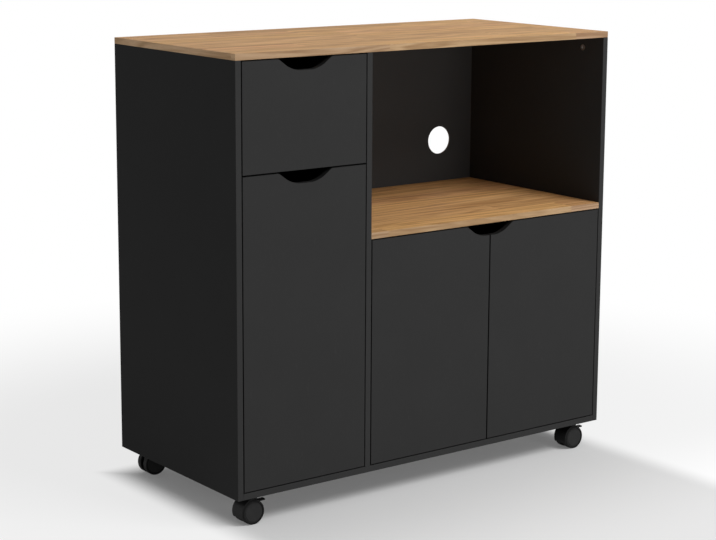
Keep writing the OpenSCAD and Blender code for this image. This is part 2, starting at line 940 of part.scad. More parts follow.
// The steel stem that carries the hood, with a ring groove near its lower end
module caster_stems() {
    color(zinc)
        for (caster = all_casters)
            translate([caster[0][0], caster[0][1], stem_bottom])
                rotate_extrude()
                    polygon([[0, 0], [stem_r - 0.6, 0], [stem_r, 0.6], [stem_r, 2.5],
                             [stem_r - 0.5, 2.5], [stem_r - 0.5, 4], [stem_r, 4],
                             [stem_r, caster_h - stem_bottom], [0, caster_h - stem_bottom]]);
}

module caster_screws() {
    color(zinc) at_caster_screws() screw();
}

// Its children at a caster: the stem on the Z axis, the wheels trailing towards -X
module at_caster(caster) {
    translate(caster[0]) rotate(caster[1]) children();
}

// Its children about the axle's middle, with X and Z as in the caster
module at_axle() {
    translate([-caster_trail, 0, wheel_r]) children();
}

// A flat outline in the axle's X and Z, given its width along Y about the middle
module across(w) {
    rotate([90, 0, 0]) linear_extrude(w, center = true) children();
}

// The sector of the wheels that the hood covers
module hood_sector(r) {
    polygon(concat([[0, 0]], arc(2 * r, hood_start, hood_end, 4)));
}

// The hood: a curved cover over both wheels, a web between them and a crown for the stem.
// A hood with a brake has a pair of ears and a slot for the lever.
module hood(has_brake) {
    difference() {
        union() {
            at_axle() {
                across(caster_w)
                    intersection() {
                        difference() {
                            circle(hood_outer_r);
                            circle(hood_inner_r);
                        }
                        hood_sector(hood_outer_r);
                    }
                across(web_w) {
                    circle(wheel_r - 12);
                    intersection() {
                        circle(hood_inner_r + eps);
                        hood_sector(hood_outer_r);
                    }
                    square([caster_trail + 7, hood_inner_r]);
                    if (has_brake) {
                        translate(brake_pivot) circle(brake_ear_r);
                        polygon([[0, 0], [brake_pivot[0] + 2, brake_pivot[1] - brake_ear_r],
                                 brake_pivot, [brake_pivot[0] - 3, brake_pivot[1] + brake_ear_r - 1],
                                 [0, wheel_r - 4]]);
                    }
                }
            }
            translate([0, 0, wheel_r + hood_inner_r - 0.2])
                cylinder(r = crown_r, h = crown_top - wheel_r - hood_inner_r + 0.2);
        }
        translate([0, 0, stem_bottom - 0.5]) cylinder(r = stem_r + slip, h = caster_h);
        at_axle() {
            bar_y(axle_r + 0.02, caster_w);
            if (has_brake) {
                translate([brake_pivot[0], 0, brake_pivot[1]]) bar_y(brake_pin_r + slip, caster_w);
                across(brake_slot_w)
                    translate([brake_slot_x, 4]) square([20, 20]);
                across(brake_w + 1.2)
                    translate([brake_slot_x + 1, wheel_r - 3.5]) square([20, 10]);
            }
        }
    }
}

// The axle, held in the hood's web
module axle() {
    at_axle() bar_y(axle_r, axle_len);
}

// One of the twin wheels: hub, web, rim with a rounded tread, and a closed dished face.
// Its inner face is at z = 0 and its outer face points along +Z.
module wheel_body() {
    bore_r = axle_r + slip;
    rotate_extrude()
        polygon([[bore_r, 0], [6, 0], [6, 7.4], [wheel_r - 5, 7.4], [wheel_r - 4.2, 6.6],
                 [wheel_r - 3.6, 0], [wheel_r - 1.4, 0], [wheel_r - 0.4, 0.5], [wheel_r, 1.5],
                 [wheel_r, wheel_w - 3], [wheel_r - 0.5, wheel_w - 1.4],
                 [wheel_r - 1.6, wheel_w - 0.4], [wheel_r - 3, wheel_w],
                 [wheel_r - 3.8, wheel_w - 0.2], [wheel_r - 4.3, wheel_w - 1],
                 [wheel_r - 5.3, wheel_w - 1], [wheel_r - 6, wheel_w - 0.3], [6, wheel_w],
                 [0, wheel_w], [0, wheel_w - 3], [bore_r, wheel_w - 3]]);
}

// A wheel on the side way of the caster: -1 is towards its -Y, 1 towards its +Y
module wheel(way) {
    at_axle()
        translate([0, way * wheel_start, 0]) rotate([-90 * way, 0, 0]) wheel_body();
}

// The brake pedal: an arm between the ears, a plate that follows the wheels, and a tab that
// kicks up at its end
module brake() {
    plate_in = hood_inner_r + 0.5;
    plate_out = plate_in + 2.2;
    at_axle() {
        across(brake_slot_w - 0.4) {
            translate(brake_pivot) circle(brake_ear_r - 0.4);
            polygon([brake_pivot + [-3, 2], brake_pivot + [3, -2],
                     (plate_in + 1) * [cos(46), sin(46)], (plate_in + 1) * [cos(60), sin(60)]]);
        }
        across(brake_w)
            polygon(concat(arc(plate_in, brake_plate_start, brake_plate_end, 6),
                           [[22.5, 16.2], [31, 16.6], [33.5, 18.6], [33.2, 20], [31, 20.2],
                            [24, 19.4]],
                           arc(plate_out, brake_plate_end, brake_plate_start, 6)));
        translate([brake_pivot[0], 0, brake_pivot[1]]) bar_y(brake_pin_r, web_w - 0.6);
    }
}

module hood_of(caster, has_brake) {
    color(nylon_black) at_caster(caster) hood(has_brake);
}

module axle_of(caster) {
    color(zinc) at_caster(caster) axle();
}

module wheel_of(caster, way) {
    color(nylon_black) at_caster(caster) wheel(way);
}

module brake_of(caster) {
    color(nylon_black) at_caster(caster) brake();
}

module front_left_hood() hood_of(front_left, true);
module front_left_axle() axle_of(front_left);
module front_left_wheel_outer() wheel_of(front_left, -1);
module front_left_wheel_inner() wheel_of(front_left, 1);
module front_left_brake() brake_of(front_left);
module front_right_hood() hood_of(front_right, true);
module front_right_axle() axle_of(front_right);
module front_right_wheel_outer() wheel_of(front_right, -1);
module front_right_wheel_inner() wheel_of(front_right, 1);
module front_right_brake() brake_of(front_right);
module back_left_hood() hood_of(back_left, false);
module back_left_axle() axle_of(back_left);
module back_left_wheel_outer() wheel_of(back_left, -1);
module back_left_wheel_inner() wheel_of(back_left, 1);
module back_right_hood() hood_of(back_right, false);
module back_right_axle() axle_of(back_right);
module back_right_wheel_outer() wheel_of(back_right, -1);
module back_right_wheel_inner() wheel_of(back_right, 1);

top_panel();
left_side();
right_side();
divider();
bottom_panel();
niche_shelf();
drawer_rail();
left_back();
right_back();
left_shelf();
right_shelf();
shelf_pins();
cams();
cam_bolts();
dowels();
cabinet_runners();
runner_screws();
front_rollers();
hinge_plates();
hinge_arms();
hinge_screws();
caster_plates();
caster_stems();
caster_screws();
drawer_front();
drawer_left_side();
drawer_right_side();
drawer_back();
drawer_bottom();
drawer_cams();
drawer_bolts();
drawer_screws();
drawer_runners();
drawer_runner_screws();
rear_rollers();
left_door();
left_door_cups();
middle_door();
middle_door_cups();
right_door();
right_door_cups();
front_left_hood();
front_left_axle();
front_left_wheel_outer();
front_left_wheel_inner();
front_left_brake();
front_right_hood();
front_right_axle();
front_right_wheel_outer();
front_right_wheel_inner();
front_right_brake();
back_left_hood();
back_left_axle();
back_left_wheel_outer();
back_left_wheel_inner();
back_right_hood();
back_right_axle();
back_right_wheel_outer();
back_right_wheel_inner();
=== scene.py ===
"""Dresses the kitchen stand on casters: its boards, fronts, casters and fittings, their
finishes, and a plain studio. Sizes are in metres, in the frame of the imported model: X runs to
the right seen from the front, Y to the back and Z up, from the floor under the middle."""

import json
import math

import bmesh
import bpy
from mathutils import Matrix, Vector

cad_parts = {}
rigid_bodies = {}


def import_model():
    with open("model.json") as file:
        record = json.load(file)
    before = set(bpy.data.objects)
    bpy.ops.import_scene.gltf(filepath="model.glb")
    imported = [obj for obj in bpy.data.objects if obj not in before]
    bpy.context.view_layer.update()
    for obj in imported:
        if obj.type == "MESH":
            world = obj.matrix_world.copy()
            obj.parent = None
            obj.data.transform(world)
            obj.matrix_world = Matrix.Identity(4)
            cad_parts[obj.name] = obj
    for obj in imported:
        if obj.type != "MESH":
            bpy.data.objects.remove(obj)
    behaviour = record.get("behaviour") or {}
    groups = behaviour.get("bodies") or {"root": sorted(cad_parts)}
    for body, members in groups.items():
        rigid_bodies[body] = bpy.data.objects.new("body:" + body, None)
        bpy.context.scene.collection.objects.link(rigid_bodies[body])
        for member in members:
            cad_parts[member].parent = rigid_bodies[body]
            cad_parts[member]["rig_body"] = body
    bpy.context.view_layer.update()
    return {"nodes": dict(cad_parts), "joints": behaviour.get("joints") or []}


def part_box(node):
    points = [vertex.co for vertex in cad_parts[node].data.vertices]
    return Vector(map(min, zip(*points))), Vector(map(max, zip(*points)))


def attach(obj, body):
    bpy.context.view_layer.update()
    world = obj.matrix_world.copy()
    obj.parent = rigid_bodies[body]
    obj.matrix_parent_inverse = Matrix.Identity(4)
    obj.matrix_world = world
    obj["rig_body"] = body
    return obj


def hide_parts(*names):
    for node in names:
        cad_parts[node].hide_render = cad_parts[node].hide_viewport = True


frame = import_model()

MM = 0.001
X_WAY = Vector((1, 0, 0))
Y_WAY = Vector((0, 1, 0))
Z_WAY = Vector((0, 0, 1))

# Faces and levels of the cabinet
TOP_LOW, TOP_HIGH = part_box("top_panel")
BOARD = TOP_HIGH.z - TOP_LOW.z
FRONT_Y = TOP_LOW.y
CASE_TOP = TOP_LOW.z
CASE_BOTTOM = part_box("left_side")[0].z
FLOOR_Z = CASE_BOTTOM + BOARD
SIDE_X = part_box("right_side")[0].x
BAY_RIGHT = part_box("divider")[0].x
NICHE_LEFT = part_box("divider")[1].x
NICHE_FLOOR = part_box("niche_shelf")[1].z
BACK_LOW, BACK_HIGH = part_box("left_back")

# Points nearer than this are one
WELD = 0.005 * MM

# Rounding of the boards' edges
BOARD_ROUND = 0.6 * MM
SHEET_ROUND = 0.25 * MM

# Bores and grooves. Their cutters start a little outside the face that they cut.
CUT_OVER = 2 * MM
CAM_SETBACK = 24 * MM
CAM_BORE = 6.1 * MM
CAM_DEEP = 9.4 * MM
CAM_ROWS = (-150 * MM, 150 * MM)
DRAWER_CAM_RISES = (33 * MM, 97 * MM)
PIN_BORE = 2.55 * MM
PIN_DEEP = 7 * MM
PIN_STEPS = (-32 * MM, 0, 32 * MM)
PIN_INSET = 37 * MM
GROOVE_DEEP = 4 * MM
GROOVE_FRONT = BACK_LOW.y - 0.1 * MM
GROOVE_BACK = BACK_HIGH.y + 0.1 * MM
CUP_BORE = 13.05 * MM
CUP_DEEP = 8 * MM
CUP_SETBACK = 18 * MM
HINGE_INSET = 75 * MM
SUNK_BORE = 4.6 * MM
SUNK_DEEP = 3 * MM
DRAWER_SCREW_RISES = (35 * MM, 95 * MM)
CABLE_HOLE = 30 * MM
CABLE_HOLE_INSET = 90 * MM

# Finger notches in the top edges of the fronts: a flat foot, slopes that rise from it, and how far
# their round corners cut back, with radii of 52 mm at the foot and 10 mm at the mouth
NOTCH_DEEP = 21.5 * MM
NOTCH_FLAT = 12 * MM
NOTCH_SLOPE = math.radians(36)
FOOT_CORNER = 52 * MM * math.tan(NOTCH_SLOPE / 2)
MOUTH_CORNER = 10 * MM * math.tan(NOTCH_SLOPE / 2)
FOOT_HALF = NOTCH_FLAT + FOOT_CORNER
MOUTH_HALF = FOOT_HALF + NOTCH_DEEP / math.tan(NOTCH_SLOPE)

# What each front is narrower and lower by on each side, for the gap that shows
FRONT_EASE = 0.35 * MM


# ---------- modelling by hand ----------

def pick_only(*pieces):
    """Leaves only these objects selected, the first of them active."""
    bpy.ops.object.select_all(action="DESELECT")
    for piece in pieces:
        piece.select_set(True)
    bpy.context.view_layer.objects.active = pieces[0]


def settle(name):
    """Names the primitive just added, and moves its place into its mesh."""
    piece = bpy.context.active_object
    piece.name = name
    piece.data.name = name
    bpy.ops.object.transform_apply(location=True, rotation=True, scale=True)
    return piece


def add_block(name, low, high):
    """A block between two corners."""
    bpy.ops.object.select_all(action="DESELECT")
    low, high = Vector(low), Vector(high)
    bpy.ops.mesh.primitive_cube_add(size=1, location=(low + high) / 2, scale=high - low)
    return settle(name)


def add_rod(name, start, way, radius, length, sides=48):
    """A round bar from a point along a direction."""
    bpy.ops.object.select_all(action="DESELECT")
    way = Vector(way)
    bpy.ops.mesh.primitive_cylinder_add(
        vertices=sides, radius=radius, depth=length, location=Vector(start) + way * (length / 2),
        rotation=way.to_track_quat("Z", "Y").to_euler())
    return settle(name)


def add_copy(name, mesh):
    """A new piece with its own copy of a mesh."""
    piece = bpy.data.objects.new(name, mesh.copy())
    piece.data.name = name
    bpy.context.scene.collection.objects.link(piece)
    return piece


def coat(piece, *finishes):
    """Gives a piece these finishes in place of those it has."""
    piece.data.materials.clear()
    for finish in finishes:
        piece.data.materials.append(finish)


def open_mesh(piece):
    """Enters edit mode on one piece."""
    pick_only(piece)
    bpy.ops.object.mode_set(mode="EDIT")


def close_mesh():
    """Leaves edit mode."""
    bpy.ops.object.mode_set(mode="OBJECT")


def select_faces(piece, wanted):
    """In edit mode, selects the faces for which wanted(middle, normal) holds."""
    bpy.ops.mesh.select_mode(type="FACE")
    bpy.ops.mesh.select_all(action="DESELECT")
    mesh = bmesh.from_edit_mesh(piece.data)
    for face in mesh.faces:
        if wanted(face.calc_center_median(), face.normal):
            face.select_set(True)
    bmesh.update_edit_mesh(piece.data)


def select_edges(piece, wanted):
    """In edit mode, selects the edges for which wanted(middle, direction) holds."""
    bpy.ops.mesh.select_mode(type="EDGE")
    bpy.ops.mesh.select_all(action="DESELECT")
    mesh = bmesh.from_edit_mesh(piece.data)
    for edge in mesh.edges:
        start, end = (corner.co for corner in edge.verts)
        if wanted((start + end) / 2, (end - start).normalized()):
            edge.select_set(True)
    bmesh.update_edit_mesh(piece.data)


def ease_all(piece, width, segments):
    """Rounds all the edges of a piece."""
    open_mesh(piece)
    bpy.ops.mesh.select_all(action="SELECT")
    bpy.ops.mesh.bevel(offset=width, segments=segments, affect="EDGES")
    close_mesh()


def apply_modifier(piece, modifier):
    """Makes a modifier's result the piece's mesh."""
    pick_only(piece)
    bpy.ops.object.modifier_apply(modifier=modifier.name)


def combine(piece, others, operation):
    """Cuts objects out of a piece, or unites them with it, and deletes them."""
    pick_only(*others)
    if len(others) > 1:
        bpy.ops.object.join()
    modifier = piece.modifiers.new("shape", "BOOLEAN")
    modifier.operation = operation
    modifier.object = others[0]
    modifier.solver = "EXACT"
    modifier.use_self = len(others) > 1
    modifier.material_mode = "TRANSFER"
    apply_modifier(piece, modifier)
    bpy.data.objects.remove(others[0])


def round_edges(piece, width, segments=3, sharper_than=60):
    """Rounds the edges that turn by more than an angle in degrees."""
    modifier = piece.modifiers.new("rounding", "BEVEL")
    modifier.width = width
    modifier.segments = segments
    modifier.limit_method = "ANGLE"
    modifier.angle_limit = math.radians(sharper_than)
    apply_modifier(piece, modifier)


def smooth(piece, sharper_than=35):
    """Shades a piece smooth apart from its sharp edges, with its flat faces kept flat."""
    pick_only(piece)
    bpy.ops.object.shade_smooth_by_angle(angle=math.radians(sharper_than))
    modifier = piece.modifiers.new("flats", "WEIGHTED_NORMAL")
    modifier.keep_sharp = True
    apply_modifier(piece, modifier)


# ---------- finishes ----------

class Signal:
    """A socket of a node. Arithmetic on it adds Math nodes."""

    def __init__(self, wiring, socket):
        self.wiring = wiring
        self.socket = socket

    def math(self, operation, first, second=0.0):
        return self.wiring.node("ShaderNodeMath", {"operation": operation}, {0: first, 1: second})

    def __add__(self, other):
        return self.math("ADD", self, other)

    def __sub__(self, other):
        return self.math("SUBTRACT", self, other)

    def __rsub__(self, other):
        return self.math("SUBTRACT", other, self)

    def __mul__(self, other):
        return self.math("MULTIPLY", self, other)

    def __truediv__(self, other):
        return self.math("DIVIDE", self, other)

    __radd__ = __add__
    __rmul__ = __mul__

    def floor(self):
        return self.math("FLOOR", self)

    def sine(self):
        return self.math("SINE", self)

    def size(self):
        return self.math("ABSOLUTE", self)

    def larger(self, other):
        return self.math("MAXIMUM", self, other)

    def clear_steps(self, low, high):
        """0 below low, 1 above high, and smooth between them."""
        return self.wiring.node("ShaderNodeMapRange", {"interpolation_type": "SMOOTHSTEP"},
                                {"Value": self, "From Min": low, "From Max": high})


class Wiring:
    """The nodes of a finish or of the sky, and the links between them."""

    def __init__(self, tree):
        self.tree = tree

    def node(self, kind, settings=None, inputs=None, output=0):
        """Adds a node, sets it up, feeds its inputs and returns one of its outputs."""
        made = self.tree.nodes.new(kind)
        for name, value in (settings or {}).items():
            if name == "stops":
                self.set_stops(made.color_ramp, value)
            else:
                setattr(made, name, value)
        for key, value in (inputs or {}).items():
            if isinstance(value, Signal):
                self.link(value, made.inputs[key])
            else:
                made.inputs[key].default_value = value
        return Signal(self, made.outputs[output])

    @staticmethod
    def set_stops(ramp, stops):
        """Gives a colour ramp its (position, colour) stops."""
        while len(ramp.elements) < len(stops):
            ramp.elements.new(1.0)
        for element, (position, colour) in zip(ramp.elements, stops):
            element.position = position
            element.color = (*colour, 1)

    def link(self, signal, socket):
        """Leads a signal into a socket."""
        self.tree.links.new(signal.socket, socket)


class Finish(Wiring):
    """A material in the making: its nodes, its shader and the place on the object."""

    def __init__(self, name, **constants):
        self.material = bpy.data.materials.new(name)
        self.material.use_nodes = True
        super().__init__(self.material.node_tree)
        self.shader = self.tree.nodes["Principled BSDF"]
        for socket, value in constants.items():
            self.shader.inputs[socket.replace("_", " ")].default_value = value
        self.place = self.node("ShaderNodeTexCoord", output="Object")

    def stretched(self, scales, turn=0.0):
        """The place on the object, scaled by three numbers and turned about Z."""
        return self.node("ShaderNodeMapping", {},
                         {"Vector": self.place, "Rotation": (0, 0, turn), "Scale": scales})

    def noise(self, place, scale=1.0, detail=2.0, roughness=0.5, distortion=0.0):
        """Noise from 0 to 1 at a place."""
        return self.node("ShaderNodeTexNoise", {}, {
            "Vector": place, "Scale": scale, "Detail": detail, "Roughness": roughness,
            "Distortion": distortion})

    def ramp(self, factor, stops):
        """A colour picked from stops."""
        return self.node("ShaderNodeValToRGB", {"stops": stops}, {0: factor})

    def mix(self, factor, first, second, way="MIX"):
        """A mix of two colours."""
        return self.node("ShaderNodeMix", {"data_type": "RGBA", "blend_type": way},
                         {0: factor, 6: first, 7: second}, output=2)

    def feed(self, socket, signal):
        """Leads a signal into one of the shader's sockets."""
        self.link(signal, self.shader.inputs[socket])

    def bump(self, height, distance, strength=1.0):
        """Raises the surface by a height signal over a distance in metres."""
        self.feed("Normal", self.node("ShaderNodeBump", {}, {
            "Strength": strength, "Distance": distance, "Height": height}))


def grey(level):
    """A grey, as three numbers."""
    return (level, level, level)


def shade(colour, factor=1.0):
    """A colour made lighter or darker, as the four numbers of a colour socket."""
    return tuple(part * factor for part in colour) + (1.0,)


def charcoal(name, tone, roughness, gloss):
    """Black melamine with a fine pearl texture."""
    finish = Finish(name, Specular_IOR_Level=gloss)
    cloud = finish.noise(finish.place, scale=9, detail=3)
    pearl = finish.noise(finish.place, scale=900, detail=2, roughness=0.6)
    pores = finish.noise(finish.stretched((260, 260, 60)), detail=3, roughness=0.7)
    colour = finish.mix(cloud, shade(tone, 0.94), shade(tone, 1.06))
    fleck = pores.clear_steps(0.60, 0.72) * 0.5
    finish.feed("Base Color", finish.mix(fleck, colour, shade(tone, 1.25)))
    finish.feed("Roughness", roughness - 0.05 + 0.1 * pearl)
    finish.bump(pearl * 0.7 + pores * 0.3, 0.03 * MM, 0.5)
    return finish.material


def oak(name, turn, tone):
    """Oak-look foil of long staves, its grain along X, or turned to run along Y."""
    finish = Finish(name, Specular_IOR_Level=0.025)
    # Which stave this is, and a random number for it
    turned = finish.stretched((1, 1, 1), turn)
    along = finish.node("ShaderNodeSeparateXYZ", {}, {0: turned}, output="X")
    across = finish.node("ShaderNodeSeparateXYZ", {}, {0: turned}, output="Y")
    row = ((across + 0.5 * STAVE_W) / STAVE_W).floor()
    row_chance = finish.node("ShaderNodeTexWhiteNoise", {"noise_dimensions": "1D"}, {"W": row})
    column = (along / STAVE_LEN + row_chance * 7.0).floor()
    stave = finish.node("ShaderNodeCombineXYZ", {}, {0: row, 1: column})
    chance = finish.node("ShaderNodeTexWhiteNoise", {"noise_dimensions": "2D"}, {"Vector": stave})
    shift = finish.node("ShaderNodeCombineXYZ", {},
                        {0: chance * 31, 1: chance * 17, 2: chance * 5})

    def grain_place(scales):
        """The place on this stave, moved by its chance, so that no two staves look alike."""
        moved = finish.node("ShaderNodeVectorMath", {"operation": "ADD"}, {0: turned, 1: shift})
        return finish.node("ShaderNodeVectorMath", {"operation": "MULTIPLY"}, {0: moved, 1: scales})

    broad = finish.noise(grain_place((1.6, 26, 26)), detail=3, distortion=0.8)
    rings = (broad * 46).sine() * 0.5 + 0.5
    bands = finish.noise(grain_place((2.1, 75, 75)), detail=3, roughness=0.6)
    streaks = finish.noise(grain_place((3.2, 210, 210)), detail=5, roughness=0.62)
    pores = finish.noise(grain_place((38, 1300, 1300)), detail=1)
    pore_mask = pores.clear_steps(0.60, 0.74)
    grain = rings * 0.22 + bands * 0.42 + streaks * 0.28 + broad * 0.08
    wood = finish.ramp(grain, [
        (0.26, (0.30, 0.148, 0.062)), (0.43, (0.47, 0.262, 0.122)),
        (0.57, (0.58, 0.337, 0.165)), (0.74, (0.70, 0.425, 0.222))])
    tint = finish.ramp(chance, [
        (0.0, (0.90, 0.84, 0.78)), (0.35, (1.0, 0.97, 0.93)),
        (0.65, (1.05, 0.98, 0.98)), (1.0, (1.10, 1.07, 0.96))])
    toned = finish.mix(1.0, wood, tint, "MULTIPLY")
    lifted = finish.mix(1.0, toned, shade(tone), "MULTIPLY")
    finish.feed("Base Color", finish.mix(pore_mask * 0.35, lifted, (0.20, 0.115, 0.062, 1)))
    finish.feed("Roughness", 0.42 + streaks * 0.16)
    finish.bump(streaks * 0.35 - pore_mask * 0.65, 0.05 * MM, 0.6)
    return finish.material


def raw_chipboard():
    """The core that bores and grooves lay open."""
    finish = Finish("raw_chipboard", Specular_IOR_Level=0.2)
    chips = finish.noise(finish.stretched((520, 520, 520)), detail=4, roughness=0.7)
    finish.feed("Base Color", finish.ramp(chips, [
        (0.3, (0.19, 0.12, 0.065)), (0.5, (0.36, 0.25, 0.145)), (0.7, (0.52, 0.40, 0.26))]))
    finish.feed("Roughness", 0.8 + chips * 0.15)
    finish.bump(chips, 0.3 * MM, 0.8)
    return finish.material


def hardboard(name, dark, light, bump_depth):
    """Pressed fibre board: fine fibres over a soft cloud."""
    finish = Finish(name, Specular_IOR_Level=0.25)
    cloud = finish.noise(finish.place, scale=14, detail=3)
    fibres = finish.noise(finish.stretched((420, 420, 420)), detail=5, roughness=0.7,
                          distortion=1.5)
    finish.feed("Base Color", finish.mix(cloud * 0.4 + fibres * 0.6, dark, light))
    finish.feed("Roughness", 0.6 + fibres * 0.25)
    finish.bump(fibres, bump_depth, 0.6)
    return finish.material


def nylon(name, tone, roughness):
    """Moulded nylon with a fine spark-eroded texture and a little dust."""
    finish = Finish(name, Specular_IOR_Level=0.1)
    texture = finish.noise(finish.place, scale=1500, detail=2)
    dust = finish.noise(finish.place, scale=70, detail=4, roughness=0.65)
    colour = finish.mix(dust.clear_steps(0.45, 0.8) * 0.5, shade(tone, 0.92), shade(tone, 1.5))
    finish.feed("Base Color", colour)
    finish.feed("Roughness", roughness + dust * 0.15)
    finish.bump(texture, 0.03 * MM, 0.5)
    return finish.material


def bright_metal(name, tone, roughness, brush):
    """Plated steel with faint rolling marks."""
    finish = Finish(name, Metallic=1.0)
    marks = finish.noise(finish.stretched(brush), detail=4, roughness=0.6)
    cloud = finish.noise(finish.place, scale=55, detail=3)
    finish.feed("Base Color", finish.mix(cloud, shade(tone, 0.90), shade(tone, 1.06)))
    finish.feed("Roughness", roughness - 0.08 + marks * 0.12 + cloud * 0.06)
    finish.bump(marks, 0.01 * MM, 0.5)
    return finish.material


def epoxy_coat():
    """White powder coat with its orange-peel skin."""
    finish = Finish("epoxy_coat", Specular_IOR_Level=0.5)
    peel = finish.noise(finish.place, scale=420, detail=1)
    cloud = finish.noise(finish.place, scale=12, detail=2)
    finish.feed("Base Color", finish.mix(cloud, (0.76, 0.76, 0.745, 1), (0.83, 0.83, 0.82, 1)))
    finish.feed("Roughness", 0.34 + peel * 0.12)
    finish.bump(peel, 0.03 * MM, 0.6)
    return finish.material


def beech():
    """Plain turned beech with short flecks."""
    finish = Finish("beech_wood", Specular_IOR_Level=0.25)
    flecks = finish.noise(finish.stretched((700, 120, 700)), detail=3)
    finish.feed("Base Color", finish.ramp(flecks, [
        (0.35, (0.48, 0.31, 0.17)), (0.6, (0.62, 0.44, 0.27)), (0.8, (0.68, 0.51, 0.33))]))
    finish.feed("Roughness", 0.55 + flecks * 0.15)
    return finish.material


# How light the black boards are
MELAMINE = 0.0365
# The staves printed on the oak foil
STAVE_W = 62 * MM
STAVE_LEN = 470 * MM

charcoal_face = charcoal("charcoal_face", grey(MELAMINE), 0.55, 0.011)
charcoal_band = charcoal("charcoal_edge_band", grey(1.08 * MELAMINE), 0.48, 0.02)
# The fronts' edges, which face the gaps between the fronts and line the notches, get a much darker
# band: painted shade for the dark inside the gaps
gap_shade_band = charcoal("charcoal_painted_gap_shade", grey(0.4 * MELAMINE), 0.5, 0.01)
oak_face = oak("oak_face", 0.0, (1.19, 1.23, 1.15))
oak_band = oak("oak_edge_band", 0.0, (0.77, 0.90, 1.14))
# The ends: the same oak foil with a painted lighter, greyer tone, which stands in for light on the
# worktop's shaded end
oak_end_band_painted_light = oak("oak_end_band_painted_light", math.radians(90), (1.28, 1.55, 1.90))
chipboard = raw_chipboard()
painted_hardboard = hardboard("painted_hardboard", shade(grey(0.85 * MELAMINE)),
                              shade(grey(1.2 * MELAMINE)), 0.02 * MM)
brown_hardboard = hardboard("brown_hardboard", (0.105, 0.062, 0.035, 1), (0.21, 0.135, 0.08, 1),
                            0.08 * MM)
disc_nylon = nylon("disc_nylon", grey(0.026), 0.42)
hood_nylon = nylon("hood_nylon", grey(0.012), 0.4)
tread_rubber = nylon("tread_rubber", grey(0.008), 0.5)
roller_nylon = nylon("roller_nylon", (0.62, 0.62, 0.6), 0.35)
zinc_plate = bright_metal("zinc_plate", (0.62, 0.63, 0.65), 0.34, (90, 900, 90))
nickel_plate = bright_metal("nickel_plate", (0.66, 0.65, 0.62), 0.26, (900, 900, 80))
white_epoxy = epoxy_coat()
beech_wood = beech()


# ---------- boards ----------

def hand_over(piece, node):
    """Lets a piece stand for its CAD node and move with that node's body."""
    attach(piece, frame["nodes"][node]["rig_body"])
    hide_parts(node)


def band_edges(piece, faces, edges, ends):
    """Gives a board its finishes: on its two faces, its long edges and its ends along X."""
    size = piece.dimensions
    thin = min(range(3), key=lambda axis: size[axis])
    finishes = list(dict.fromkeys((faces, edges, ends)))
    coat(piece, *finishes)
    for polygon in piece.data.polygons:
        if abs(polygon.normal[thin]) > 0.98:
            finish = faces
        elif abs(polygon.normal.x) > 0.7:
            finish = ends
        else:
            finish = edges
        polygon.material_index = finishes.index(finish)


def bore(start, way, radius, deep, sides=32):
    """A cutter for a round hole, from a point on a face along a direction into the board."""
    cutter = add_rod("bore", Vector(start) - way * CUT_OVER, way, radius, deep + CUT_OVER, sides)
    coat(cutter, chipboard)
    return cutter


def groove(low, high):
    """A cutter for a groove between two corners."""
    cutter = add_block("groove", low, high)
    coat(cutter, chipboard)
    return cutter


def upright_groove(x, way, low, high):
    """A cutter for a groove in the face at x, into the board along way, between (y, z) corners."""
    outside, deep = x - way * CUT_OVER, x + way * GROOVE_DEEP
    return groove((min(outside, deep), *low), (max(outside, deep), *high))


def make_board(name, node, faces, edges, ends, cutters=()):
    """A board with rounded, banded edges and its bores and grooves."""
    piece = add_block(name, *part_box(node))
    ease_all(piece, BOARD_ROUND, 3)
    band_edges(piece, faces, edges, ends)
    if cutters:
        combine(piece, cutters, "DIFFERENCE")
    smooth(piece)
    hand_over(piece, node)


def black_board(name, node, cutters=()):
    """A board in black melamine."""
    make_board(name, node, charcoal_face, charcoal_band, charcoal_band, cutters)


def cam_pockets(spots, way):
    """Cutters for the pockets of cams."""
    return [bore(spot, way, CAM_BORE, CAM_DEEP) for spot in spots]


def pin_bores(x, way, shelf):
    """Cutters for the two rows of shelf-pin holes beside a shelf."""
    low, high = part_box(shelf)
    return [bore((x, y, low.z - PIN_BORE + step), way, PIN_BORE, PIN_DEEP, 16)
            for y in (low.y + PIN_INSET, high.y - PIN_INSET) for step in PIN_STEPS]


def back_groove(x, way):
    """A cutter for the upright groove that holds a back sheet, in the face at x."""
    return upright_groove(x, way, (GROOVE_FRONT, FLOOR_Z - GROOVE_DEEP),
                          (GROOVE_BACK, CASE_TOP + CUT_OVER))


make_board("worktop", "top_panel", oak_face, oak_band, oak_end_band_painted_light)

black_board("left_side_board", "left_side", [
    *cam_pockets([(-SIDE_X, y, CASE_TOP - CAM_SETBACK) for y in CAM_ROWS], -X_WAY),
    *pin_bores(-SIDE_X, -X_WAY, "left_shelf"),
    back_groove(-SIDE_X, -1)])

black_board("right_side_board", "right_side", [
    *cam_pockets([(SIDE_X, y, CASE_TOP - CAM_SETBACK) for y in CAM_ROWS], X_WAY),
    *pin_bores(SIDE_X, X_WAY, "right_shelf"),
    back_groove(SIDE_X, 1)])

black_board("divider_board", "divider", [
    *cam_pockets([(BAY_RIGHT, y, z) for y in CAM_ROWS
                  for z in (FLOOR_Z + CAM_SETBACK, CASE_TOP - CAM_SETBACK)], X_WAY),
    *pin_bores(BAY_RIGHT, X_WAY, "left_shelf"),
    *pin_bores(NICHE_LEFT, -X_WAY, "right_shelf"),
    back_groove(BAY_RIGHT, 1),
    back_groove(NICHE_LEFT, -1)])

black_board("bottom_board", "bottom_panel", [
    *cam_pockets([(side * (SIDE_X - CAM_SETBACK), y, CASE_BOTTOM)
                  for side in (-1, 1) for y in CAM_ROWS], Z_WAY),
    groove((-SIDE_X - CUT_OVER, GROOVE_FRONT, FLOOR_Z - GROOVE_DEEP),
           (SIDE_X + CUT_OVER, GROOVE_BACK, FLOOR_Z + CUT_OVER))])

